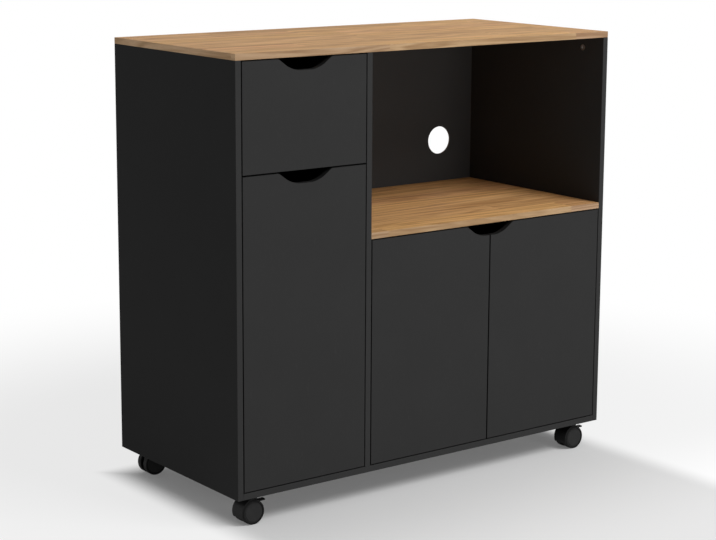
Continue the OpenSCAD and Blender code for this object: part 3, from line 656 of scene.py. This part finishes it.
make_board(
    "niche_shelf_board", "niche_shelf", oak_face, oak_band, oak_end_band_painted_light,
    cam_pockets([(x, y, NICHE_FLOOR - BOARD) for y in CAM_ROWS
                 for x in (NICHE_LEFT + CAM_SETBACK, SIDE_X - CAM_SETBACK)], Z_WAY))

rail_low, rail_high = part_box("drawer_rail")
black_board("rail_board", "drawer_rail", cam_pockets(
    [(x, (rail_low.y + rail_high.y) / 2, rail_low.z)
     for x in (rail_low.x + CAM_SETBACK, rail_high.x - CAM_SETBACK)], Z_WAY))

black_board("left_shelf_board", "left_shelf")
black_board("right_shelf_board", "right_shelf")


# ---------- drawer box ----------

def drawer_side(name, node, inner_x, way):
    """A side of the drawer: cams inside, and two sunk screws near the back."""
    low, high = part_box(node)
    outer_x = low.x if way < 0 else high.x
    cams = cam_pockets([(inner_x, low.y + CAM_SETBACK, low.z + rise)
                        for rise in DRAWER_CAM_RISES], X_WAY * way)
    back_low, back_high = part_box("drawer_back")
    screws = [bore((outer_x, (back_low.y + back_high.y) / 2, low.z + rise), X_WAY * -way,
                   SUNK_BORE, SUNK_DEEP) for rise in DRAWER_SCREW_RISES]
    sheet_low, sheet_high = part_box("drawer_bottom")
    slot = upright_groove(inner_x, way, (low.y - CUT_OVER, sheet_low.z),
                          (high.y + CUT_OVER, sheet_high.z))
    black_board(name, node, [*cams, *screws, slot])


drawer_side("drawer_left_board", "drawer_left_side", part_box("drawer_left_side")[1].x, -1)
drawer_side("drawer_right_board", "drawer_right_side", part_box("drawer_right_side")[0].x, 1)
black_board("drawer_back_board", "drawer_back")


# ---------- thin sheets ----------

def make_sheet(name, node, cutters=()):
    """A sheet of hardboard: painted on the side to the room inside, brown on the other."""
    low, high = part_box(node)
    piece = add_block(name, low, high)
    ease_all(piece, SHEET_ROUND, 2)
    stands = high.z - low.z > BOARD
    painted_way = -Y_WAY if stands else Z_WAY
    coat(piece, brown_hardboard, painted_hardboard)
    for polygon in piece.data.polygons:
        polygon.material_index = 1 if polygon.normal.dot(painted_way) > 0.9 else 0
    if cutters:
        combine(piece, cutters, "DIFFERENCE")
    smooth(piece)
    hand_over(piece, node)


def cable_hole():
    """A cutter for the round hole low in the niche's back."""
    spot = (SIDE_X - CABLE_HOLE_INSET, BACK_LOW.y, NICHE_FLOOR + CABLE_HOLE_INSET)
    cutter = bore(spot, Y_WAY, CABLE_HOLE, 2 * (BACK_HIGH.y - BACK_LOW.y), 64)
    coat(cutter, brown_hardboard)
    return cutter


make_sheet("left_back_sheet", "left_back")
make_sheet("right_back_sheet", "right_back", [cable_hole()])
make_sheet("drawer_bottom_sheet", "drawer_bottom")


# ---------- fronts ----------

def notch_cutter(middle_x, top_z):
    """A cutter for a finger notch: a block drawn in at its foot, with round lower corners."""
    head_half = MOUTH_HALF + CUT_OVER / math.tan(NOTCH_SLOPE)
    foot_z = top_z - NOTCH_DEEP
    cutter = add_block("notch", (middle_x - head_half, FRONT_Y - CUT_OVER, foot_z),
                       (middle_x + head_half, FRONT_Y + BOARD + CUT_OVER, top_z + CUT_OVER))
    open_mesh(cutter)
    select_faces(cutter, lambda middle, normal: normal.z < -0.9)
    bpy.ops.transform.resize(value=(FOOT_HALF / head_half, 1, 1),
                             center_override=(middle_x, FRONT_Y, foot_z))
    select_edges(cutter, lambda middle, way: abs(way.y) > 0.9 and middle.z < foot_z + MM)
    bpy.ops.mesh.bevel(offset=FOOT_CORNER, segments=10)
    close_mesh()
    return cutter


def make_front(name, node, notch_x, cups=()):
    """A front with a finger notch in its top edge and pockets for its hinge cups."""
    low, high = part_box(node)
    ease = Vector((FRONT_EASE, 0, FRONT_EASE))
    low, high = low + ease, high - ease
    piece = add_block(name, low, high)
    combine(piece, [notch_cutter(notch_x, high.z)], "DIFFERENCE")
    open_mesh(piece)
    select_edges(piece, lambda middle, way: abs(way.y) > 0.9 and middle.z > high.z - MM
                 and abs(abs(middle.x - notch_x) - MOUTH_HALF) < MM)
    bpy.ops.mesh.bevel(offset=MOUTH_CORNER, segments=6)
    close_mesh()
    round_edges(piece, BOARD_ROUND)
    # Its edges get the darker band, painted shade for the gaps and the notch
    band_edges(piece, charcoal_face, gap_shade_band, gap_shade_band)
    if cups:
        combine(piece, cups, "DIFFERENCE")
    smooth(piece)
    hand_over(piece, node)


def cup_pockets(node, way):
    """Cutters for the hinge cups of a door, way 1 where its hinge edge is on the left."""
    low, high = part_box(node)
    x = low.x + CUP_SETBACK if way > 0 else high.x - CUP_SETBACK
    return [bore((x, high.y, z), -Y_WAY, CUP_BORE, CUP_DEEP, 48)
            for z in (low.z + HINGE_INSET, high.z - HINGE_INSET)]


left_front_x = (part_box("left_door")[0].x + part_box("left_door")[1].x) / 2
pair_gap_x = (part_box("middle_door")[1].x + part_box("right_door")[0].x) / 2
make_front("drawer_front_board", "drawer_front", left_front_x)
make_front("left_door_board", "left_door", left_front_x, cup_pockets("left_door", 1))
make_front("middle_door_board", "middle_door", pair_gap_x, cup_pockets("middle_door", 1))
make_front("right_door_board", "right_door", pair_gap_x, cup_pockets("right_door", -1))


# ---------- casters ----------

JOINT_PLACE = {joint["name"]: Vector(joint["pos_m"])
               for joint in frame["joints"] if "pos_m" in joint}
WHEEL_LOW, WHEEL_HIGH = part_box("front_left_wheel_outer")
WHEEL_R = (WHEEL_HIGH.z - WHEEL_LOW.z) / 2
WHEEL_W = WHEEL_HIGH.y - WHEEL_LOW.y
WHEEL_START = JOINT_PLACE["front_left_swivel"].y - WHEEL_HIGH.y
WHEEL_SIDES = 72
RIM_ROUND = 1.4 * MM
RIM_W = 4.6 * MM
# From the rim to the middle of a wheel's outer face, and from the rim to the hub inside: how far
# each ring reaches in, and how far it rises, in millimetres
OUTER_RINGS = [(0.8, 0.0), (1.4, -0.1), (0.6, -0.9), (1.1, 0.0), (0.7, 0.8), (0.6, 0.2),
               (9.0, -0.25), (5.0, -0.05)]
INNER_RINGS = [(2.2, 0.0), (0.6, -6.6), (0.8, -0.8), (11.6, 0.0), (0.15, 7.4)]

# The hood over a pair of wheels, which trail the stem towards -X. Angles about the axle go from
# +X over the top to the trailing side.
TRAIL = JOINT_PLACE["front_left_swivel"].x - JOINT_PLACE["front_left_wheel_outer_spin"].x
AXLE = Vector((-TRAIL, 0, WHEEL_R))
HOOD_HALF = WHEEL_START + WHEEL_W
HOOD_INNER_R = WHEEL_R + 0.6 * MM
HOOD_WALL = 2 * MM
HOOD_ROUND = 0.7 * MM
HOOD_ANGLES = (math.radians(86), math.radians(204))
CROWN_R = 12 * MM
CROWN_ROUND = 0.9 * MM
CROWN_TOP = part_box("front_left_hood")[1].z
WEB_HALF = WHEEL_START - 0.3 * MM
HUB_R = WHEEL_R - 12 * MM
STEM_BORE = 3.05 * MM
STEM_BORE_LOW = WHEEL_R + 11 * MM
STEM_BORE_LEN = 40 * MM
AXLE_BORE = 2.52 * MM

# The brake pedal, from the axle: a strip that follows the wheels, then rises to its tab, and an
# arm down to the pivot, in a slot of the web
PEDAL_PIVOT = JOINT_PLACE["front_left_brake_press"] - JOINT_PLACE["front_left_wheel_outer_spin"]
PEDAL_EAR_R = 4 * MM
PEDAL_BOSS_R = 3.6 * MM
PEDAL_ARM_HALF = 2 * MM
PEDAL_ARM_LOW = Vector((-3 * MM, -PEDAL_ARM_HALF, 0))
PEDAL_ARM_HIGH = Vector((3 * MM, PEDAL_ARM_HALF, 6.2 * MM))
PEDAL_ARM_LEAN = 2.6 * MM
PEDAL_SLOT_HALF = 2.2 * MM
PEDAL_SLOT_LOW = Vector((9 * MM, -PEDAL_SLOT_HALF, 4 * MM))
PEDAL_SLOT_HIGH = Vector((29 * MM, PEDAL_SLOT_HALF, 24 * MM))
TRUNNION_R = 1.6 * MM
TRUNNION_HALF = WEB_HALF - 0.3 * MM
PEDAL_W = 11 * MM
PEDAL_T = 2 * MM
PEDAL_CORNER = 2.2 * MM
PEDAL_ROUND = 0.5 * MM
PEDAL_R = WHEEL_R + 0.5 * MM + PEDAL_T / 2
PEDAL_ANGLES = (47, 42.5, 38)
PEDAL_TAB = [(23.5 * MM, 15.6 * MM), (32.0 * MM, 15.9 * MM), (33.4 * MM, 16.6 * MM)]


def add_cross_rod(name, middle, half, radius, sides=48):
    """A round bar along Y, reaching as far on both sides of a point."""
    return add_rod(name, middle - Y_WAY * half, Y_WAY, radius, 2 * half, sides)


def ring_in(rings):
    """In edit mode, insets the selected face ring by ring."""
    for reach, rise in rings:
        bpy.ops.mesh.inset(thickness=reach * MM, depth=rise * MM)


def make_wheel():
    """A wheel about the origin, its inner face at y = 0 and its outer face towards -Y."""
    wheel = add_rod("wheel", (0, 0, 0), -Y_WAY, WHEEL_R, WHEEL_W, WHEEL_SIDES)
    open_mesh(wheel)
    select_edges(wheel, lambda middle, way: abs(way.y) < 0.1)
    bpy.ops.mesh.bevel(offset=RIM_ROUND, segments=5)
    select_faces(wheel, lambda middle, normal: normal.y < -0.99)
    ring_in(OUTER_RINGS)
    select_faces(wheel, lambda middle, normal: normal.y > 0.99)
    ring_in(INNER_RINGS)
    close_mesh()
    coat(wheel, disc_nylon, tread_rubber)
    for polygon in wheel.data.polygons:
        reach = math.hypot(polygon.center.x, polygon.center.z)
        polygon.material_index = 1 if reach > WHEEL_R - RIM_W else 0
    smooth(wheel, 30)
    return wheel


def hood_sector(name, radius, half):
    """The sector of a round bar about the axle that the hood covers."""
    sector = add_cross_rod(name, AXLE, half, radius, 120)
    open_mesh(sector)
    for angle, side in zip(HOOD_ANGLES, (1, -1)):
        kept_way = Vector((-math.sin(angle), 0, math.cos(angle))) * side
        bpy.ops.mesh.select_all(action="SELECT")
        bpy.ops.mesh.bisect(plane_co=AXLE, plane_no=kept_way, use_fill=True, clear_inner=True)
    close_mesh()
    return sector


def make_hood(has_brake):
    """The hood about its stem: a cover and a round crown on a web that holds the axle."""
    hood = hood_sector("hood", HOOD_INNER_R + HOOD_WALL, HOOD_HALF)
    round_edges(hood, HOOD_ROUND, sharper_than=40)
    crown = add_rod("crown", (0, 0, WHEEL_R), Z_WAY, CROWN_R, CROWN_TOP - WHEEL_R, 72)
    round_edges(crown, CROWN_ROUND)
    combine(hood, [crown], "UNION")
    combine(hood, [add_cross_rod("wheel_room", AXLE, HOOD_HALF + CUT_OVER, HOOD_INNER_R, 120)],
            "DIFFERENCE")
    web = hood_sector("web", HOOD_INNER_R + HOOD_WALL / 2, WEB_HALF)
    parts = [add_cross_rod("hub", AXLE, WEB_HALF, HUB_R),
             add_block("neck", AXLE - Y_WAY * WEB_HALF,
                       AXLE + Vector((CROWN_R + TRAIL - HOOD_WALL, WEB_HALF, HOOD_INNER_R)))]
    if has_brake:
        pivot = AXLE + PEDAL_PIVOT
        parts += [add_cross_rod("ears", pivot, WEB_HALF, PEDAL_EAR_R, 32),
                  add_block("ear_arms", AXLE + Vector((0, -WEB_HALF, PEDAL_PIVOT.z - PEDAL_EAR_R)),
                            pivot + Vector((0, WEB_HALF, PEDAL_EAR_R)))]
    for part in parts:
        combine(web, [part], "UNION")
    if has_brake:
        combine(web, [add_block("pedal_slot", AXLE + PEDAL_SLOT_LOW, AXLE + PEDAL_SLOT_HIGH)],
                "DIFFERENCE")
    combine(hood, [web], "UNION")
    for hole in (add_rod("stem_bore", (0, 0, STEM_BORE_LOW), Z_WAY, STEM_BORE, STEM_BORE_LEN, 32),
                 add_cross_rod("axle_bore", AXLE, HOOD_HALF, AXLE_BORE, 32)):
        combine(hood, [hole], "DIFFERENCE")
    coat(hood, hood_nylon)
    smooth(hood, 32)
    return hood


def make_pedal():
    """The brake pedal about its caster's stem: a bent strip on an arm with two trunnions."""
    path = [Vector((math.cos(angle), 0, math.sin(angle))) * PEDAL_R
            for angle in map(math.radians, PEDAL_ANGLES)]
    path += [Vector((x, 0, z)) for x, z in PEDAL_TAB]
    bpy.ops.object.select_all(action="DESELECT")
    bpy.ops.mesh.primitive_plane_add(size=1, location=AXLE + path[0])
    pedal = settle("pedal")
    open_mesh(pedal)
    bpy.ops.mesh.select_all(action="SELECT")
    bpy.ops.transform.resize(value=(0, PEDAL_W, 0), center_override=AXLE + path[0])
    bpy.ops.mesh.remove_doubles(threshold=WELD)
    bpy.ops.mesh.select_all(action="SELECT")
    for start, end in zip(path, path[1:]):
        bpy.ops.mesh.extrude_edges_move(TRANSFORM_OT_translate={"value": end - start})
    bpy.ops.mesh.select_mode(type="VERT")
    bpy.ops.mesh.bevel(offset=PEDAL_CORNER, segments=4, affect="VERTICES")
    close_mesh()
    wall = pedal.modifiers.new("wall", "SOLIDIFY")
    wall.thickness = PEDAL_T
    wall.offset = 0
    apply_modifier(pedal, wall)
    round_edges(pedal, PEDAL_ROUND, sharper_than=40)
    pivot = AXLE + PEDAL_PIVOT
    arm = add_block("arm", pivot + PEDAL_ARM_LOW, pivot + PEDAL_ARM_HIGH)
    open_mesh(arm)
    select_faces(arm, lambda middle, normal: normal.z > 0.9)
    bpy.ops.transform.translate(value=(PEDAL_ARM_LEAN, 0, 0))
    close_mesh()
    for part in (arm, add_cross_rod("boss", pivot, PEDAL_ARM_HALF, PEDAL_BOSS_R, 32),
                 add_cross_rod("trunnions", pivot, TRUNNION_HALF, TRUNNION_R, 24)):
        combine(pedal, [part], "UNION")
    coat(pedal, hood_nylon)
    smooth(pedal, 32)
    return pedal


def place_on_caster(pattern, name, place, node):
    """Copies a finished pattern into its place and lets it stand for its node."""
    piece = add_copy(name, pattern.data)
    piece.data.transform(place)
    hand_over(piece, node)


CORNERS = ("front_left", "front_right", "back_left", "back_right")
wheel_pattern = make_wheel()
hood_patterns = {"front": make_hood(True), "back": make_hood(False)}
pedal_pattern = make_pedal()
outward = Matrix.Translation(Y_WAY * -WHEEL_START)
half_turn = Matrix.Rotation(math.pi, 4, "Z")
for corner in CORNERS:
    stem = JOINT_PLACE[corner + "_swivel"]
    axle = JOINT_PLACE[corner + "_wheel_outer_spin"]
    turn = Matrix.Rotation(math.atan2(stem.y - axle.y, stem.x - axle.x), 4, "Z")
    at_stem = Matrix.Translation((stem.x, stem.y, 0)) @ turn
    at_axle = Matrix.Translation(axle) @ turn
    end = corner.split("_")[0]
    place_on_caster(hood_patterns[end], corner + "_cover", at_stem, corner + "_hood")
    place_on_caster(wheel_pattern, corner + "_outer_disc", at_axle @ outward,
                    corner + "_wheel_outer")
    place_on_caster(wheel_pattern, corner + "_inner_disc", at_axle @ half_turn @ outward,
                    corner + "_wheel_inner")
    if end == "front":
        place_on_caster(pedal_pattern, corner + "_pedal", at_stem, corner + "_brake")
for pattern in (wheel_pattern, *hood_patterns.values(), pedal_pattern):
    bpy.data.objects.remove(pattern)


# ---------- fittings ----------

# Screws with round heads, and those whose heads lie sunk in the drawer's sides. Their cross
# recesses: half the length, half the width and the depth.
SCREW_SIDES = 32
SCREW_R = 1.7 * MM
SCREW_HEAD_R = 3.4 * MM
SCREW_HEAD_H = 1.4 * MM
SCREW_HEAD_ROUND = 0.9 * MM
SCREW_CROSS = (1.8 * MM, 0.38 * MM, 0.9 * MM)
SUNK_SCREW_R = 2.4 * MM
SUNK_HEAD_R = 4 * MM
SUNK_HEAD_H = 3 * MM
SUNK_CROSS = (2.2 * MM, 0.5 * MM, 1.6 * MM)


def ease_fitting(name, node, finish, width):
    """Shows a fitting as a copy, its loose triangles merged into faces and its edges eased."""
    piece = add_copy(name, frame["nodes"][node].data)
    coat(piece, finish)
    pick_only(piece)
    bpy.ops.mesh.customdata_custom_splitnormals_clear()
    open_mesh(piece)
    bpy.ops.mesh.select_all(action="SELECT")
    bpy.ops.mesh.remove_doubles(threshold=WELD)
    bpy.ops.mesh.dissolve_limited(angle_limit=math.radians(0.5))
    close_mesh()
    round_edges(piece, width, segments=2, sharper_than=40)
    smooth(piece)
    hand_over(piece, node)


def loose_solids(node):
    """The points of each separate solid of a node, in a list for each."""
    mesh = bmesh.new()
    mesh.from_mesh(frame["nodes"][node].data)
    bmesh.ops.remove_doubles(mesh, verts=mesh.verts, dist=WELD)
    left = set(mesh.verts)
    solids = []
    while left:
        reached = [left.pop()]
        for corner in reached:
            for edge in corner.link_edges:
                other = edge.other_vert(corner)
                if other in left:
                    left.discard(other)
                    reached.append(other)
        solids.append([corner.co.copy() for corner in reached])
    mesh.free()
    return solids


def cut_cross(screw, half_len, half_w, deep):
    """Cuts a cross recess into a head."""
    for x, y in ((half_len, half_w), (half_w, half_len)):
        combine(screw, [add_block("recess", (-x, -y, -deep), (x, y, MM))], "DIFFERENCE")


def make_screw(length):
    """A screw with a round head: the top of its head at z = 0, its shank down -Z."""
    screw = add_rod("screw", (0, 0, -SCREW_HEAD_H), Z_WAY, SCREW_HEAD_R, SCREW_HEAD_H, SCREW_SIDES)
    open_mesh(screw)
    select_edges(screw, lambda middle, way: abs(way.z) < 0.1 and middle.z > -0.1 * MM)
    bpy.ops.mesh.bevel(offset=SCREW_HEAD_ROUND, segments=4)
    close_mesh()
    cut_cross(screw, *SCREW_CROSS)
    shank = add_rod("shank", (0, 0, -length), Z_WAY, SCREW_R, length - SCREW_HEAD_H / 2, 20)
    combine(screw, [shank], "UNION")
    return screw


def make_sunk_screw(length):
    """A screw whose cone-shaped head lies flush with z = 0, its shank down -Z."""
    screw = add_rod("screw", (0, 0, -SUNK_HEAD_H), Z_WAY, SUNK_HEAD_R, SUNK_HEAD_H, SCREW_SIDES)
    open_mesh(screw)
    select_faces(screw, lambda middle, normal: normal.z < -0.9)
    neck = SUNK_SCREW_R / SUNK_HEAD_R
    bpy.ops.transform.resize(value=(neck, neck, 1), center_override=(0, 0, -SUNK_HEAD_H))
    bpy.ops.mesh.extrude_region_move(
        TRANSFORM_OT_translate={"value": (0, 0, SUNK_HEAD_H - length)})
    close_mesh()
    cut_cross(screw, *SUNK_CROSS)
    return screw


def place_screws(name, node, make_pattern):
    """Sets a copy of one screw in the place of each solid of a node of screws."""
    pattern = None
    copies = []
    for points in loose_solids(node):
        low = Vector([min(point[axis] for point in points) for axis in range(3)])
        high = Vector([max(point[axis] for point in points) for axis in range(3)])
        size = high - low
        axis = max(range(3), key=lambda way: size[way])
        if pattern is None:
            pattern = make_pattern(size[axis])
            coat(pattern, zinc_plate)
            smooth(pattern, 30)
        # The head is at the end whose points lie farther from the middle line
        head = (low + high) / 2
        spread = {level: max((point - head).length for point in points
                             if abs(point[axis] - level) < 0.2 * MM)
                  for level in (low[axis], high[axis])}
        head_level = max(spread, key=spread.get)
        way = Vector()
        way[axis] = 1 if head_level == high[axis] else -1
        head[axis] = head_level
        turned = way.to_track_quat("Z", "Y").to_matrix().to_4x4()
        copies.append(add_copy(name, pattern.data))
        copies[-1].data.transform(Matrix.Translation(head) @ turned)
    bpy.data.objects.remove(pattern)
    pick_only(*copies)
    if len(copies) > 1:
        bpy.ops.object.join()
    copies[0].name = name
    copies[0].data.name = name
    hand_over(copies[0], node)


for node in ("runner_screws", "hinge_screws", "caster_screws", "drawer_runner_screws"):
    place_screws(node[:-1] + "_heads", node, make_screw)
place_screws("drawer_screw_heads", "drawer_screws", make_sunk_screw)

for node, finish, slot, width in (
        ("cabinet_runners", white_epoxy, "runner_steel", 0.3 * MM),
        ("drawer_runners", white_epoxy, "runner_steel", 0.3 * MM),
        ("front_rollers", roller_nylon, "nylon", 0.3 * MM),
        ("rear_rollers", roller_nylon, "nylon", 0.3 * MM),
        ("hinge_plates", nickel_plate, "zinc", 0.4 * MM),
        ("hinge_arms", nickel_plate, "zinc", 0.4 * MM),
        ("left_door_cups", nickel_plate, "zinc", 0.3 * MM),
        ("middle_door_cups", nickel_plate, "zinc", 0.3 * MM),
        ("right_door_cups", nickel_plate, "zinc", 0.3 * MM),
        ("caster_plates", zinc_plate, "zinc", 0.4 * MM),
        ("caster_stems", zinc_plate, "zinc", 0.3 * MM),
        ("cams", zinc_plate, "zinc", 0.25 * MM),
        ("drawer_cams", zinc_plate, "zinc", 0.25 * MM),
        ("shelf_pins", zinc_plate, "zinc", 0.3 * MM)):
    ease_fitting(node + "_eased", node, finish, width)


# The solids that are shown as they are
coat(frame["nodes"]["dowels"], beech_wood)
for node in ("cam_bolts", "drawer_bolts", *(corner + "_axle" for corner in CORNERS)):
    coat(frame["nodes"][node], zinc_plate)


# ---------- studio ----------

# How strong the light of the sky is, while it is seen as white
FILL_STRENGTH = 0.25
# How much painted white light the floor shows in the shadow, beside the stand and before it,
# lifting the shadow that the lamps cast
SHADOW_LIFT = 0.12
SIDE_SHADOW_LIFT = 0.64
FRONT_SHADOW_LIFT = 0.35
# The camera as it was fitted to the photograph: degrees to the right of +Y and above the horizon,
# and its roll
CAMERA_PLACE = (-2.2467, -2.9506, 1.1691)
CAMERA_ANGLES = (37.015, -10.68, 0.299)
CAMERA_LENS = 94.588
CAMERA_SHIFT = -0.05
WHITE = (1, 1, 1, 1)


def seen_plainly(wiring):
    """1 for camera, glossy and transmission rays, which see the pale background."""
    camera, glossy, through = (wiring.node("ShaderNodeLightPath", output=ray) for ray in
                               ("Is Camera Ray", "Is Glossy Ray", "Is Transmission Ray"))
    return camera + glossy + through


def make_floor():
    """A wide pale floor that keeps the shadow under the stand, with painted white light that lifts
    the shadow beside and before the stand and fades it to white around it.
    """
    bpy.ops.object.select_all(action="DESELECT")
    bpy.ops.mesh.primitive_plane_add(size=60, location=(0, 0, 0))
    floor = settle("floor")
    finish = Finish("pale_floor", Roughness=0.9, Specular_IOR_Level=0.1)
    reach = finish.node("ShaderNodeVectorMath", {"operation": "LENGTH"}, {0: finish.place},
                        output="Value")
    x = finish.node("ShaderNodeSeparateXYZ", {}, {0: finish.place}, output="X")
    y = finish.node("ShaderNodeSeparateXYZ", {}, {0: finish.place}, output="Y")
    beside = (x.size() - TOP_HIGH.x).larger(y - TOP_HIGH.y)
    before = FRONT_Y - y
    grime = finish.noise(finish.place, scale=3, detail=3)
    finish.feed("Base Color", finish.mix(grime, (0.84, 0.84, 0.84, 1), (0.86, 0.86, 0.86, 1)))
    white = finish.node("ShaderNodeEmission", {}, {"Color": WHITE, "Strength": 1.0})
    # Painted light: white that lifts the shadow a little everywhere, much more beside the stand and
    # before it
    pale = (SHADOW_LIFT + beside.clear_steps(-0.03, 0.05) * SIDE_SHADOW_LIFT
            + before.clear_steps(0.0, 0.5) * FRONT_SHADOW_LIFT)
    far = reach.clear_steps(0.75, 1.7)
    glow = (pale + (1 - pale) * far) * seen_plainly(finish)
    mixed = finish.node("ShaderNodeMixShader", {}, {
        0: glow, 1: Signal(finish, finish.shader.outputs[0]), 2: white})
    finish.link(mixed, finish.tree.nodes["Material Output"].inputs["Surface"])
    coat(floor, finish.material)


def make_sky():
    """Soft light from all round, seen as white."""
    world = bpy.data.worlds.new("studio")
    bpy.context.scene.world = world
    world.use_nodes = True
    sky = Wiring(world.node_tree)
    background = world.node_tree.nodes["Background"]
    background.inputs["Color"].default_value = WHITE
    strength = sky.node("ShaderNodeMapRange", {},
                        {"Value": seen_plainly(sky), "To Min": FILL_STRENGTH})
    sky.link(strength, background.inputs["Strength"])


def add_softbox(name, place, target, size, power):
    """A square area lamp that faces a point."""
    lamp = bpy.data.lights.new(name, "AREA")
    lamp.shape = "SQUARE"
    lamp.size = size
    lamp.energy = power
    holder = bpy.data.objects.new(name, lamp)
    bpy.context.scene.collection.objects.link(holder)
    holder.location = place
    holder.rotation_euler = (Vector(target) - Vector(place)).to_track_quat("-Z", "Y").to_euler()


def make_camera():
    """The camera at the photograph's viewing angle, with a small downward shift."""
    camera = bpy.data.cameras.new("camera")
    camera.sensor_width = 36
    camera.lens = CAMERA_LENS
    camera.shift_y = CAMERA_SHIFT
    holder = bpy.data.objects.new("camera", camera)
    bpy.context.scene.collection.objects.link(holder)
    azimuth, elevation, roll = map(math.radians, CAMERA_ANGLES)
    turn = (Matrix.Rotation(-azimuth, 4, "Z") @ Matrix.Rotation(math.pi / 2 + elevation, 4, "X")
            @ Matrix.Rotation(roll, 4, "Z"))
    holder.matrix_world = Matrix.Translation(CAMERA_PLACE) @ turn
    bpy.context.scene.camera = holder


make_floor()
make_sky()
add_softbox("key_light", place=(1.1, -2.6, 3.3), target=(0, 0, 0.45), size=1.8, power=94)
add_softbox("low_light", place=(0.5, -3.4, 0.7), target=(0, 0, 0.3), size=1.2, power=16)
make_camera()
bpy.context.scene.view_settings.view_transform = "Standard"
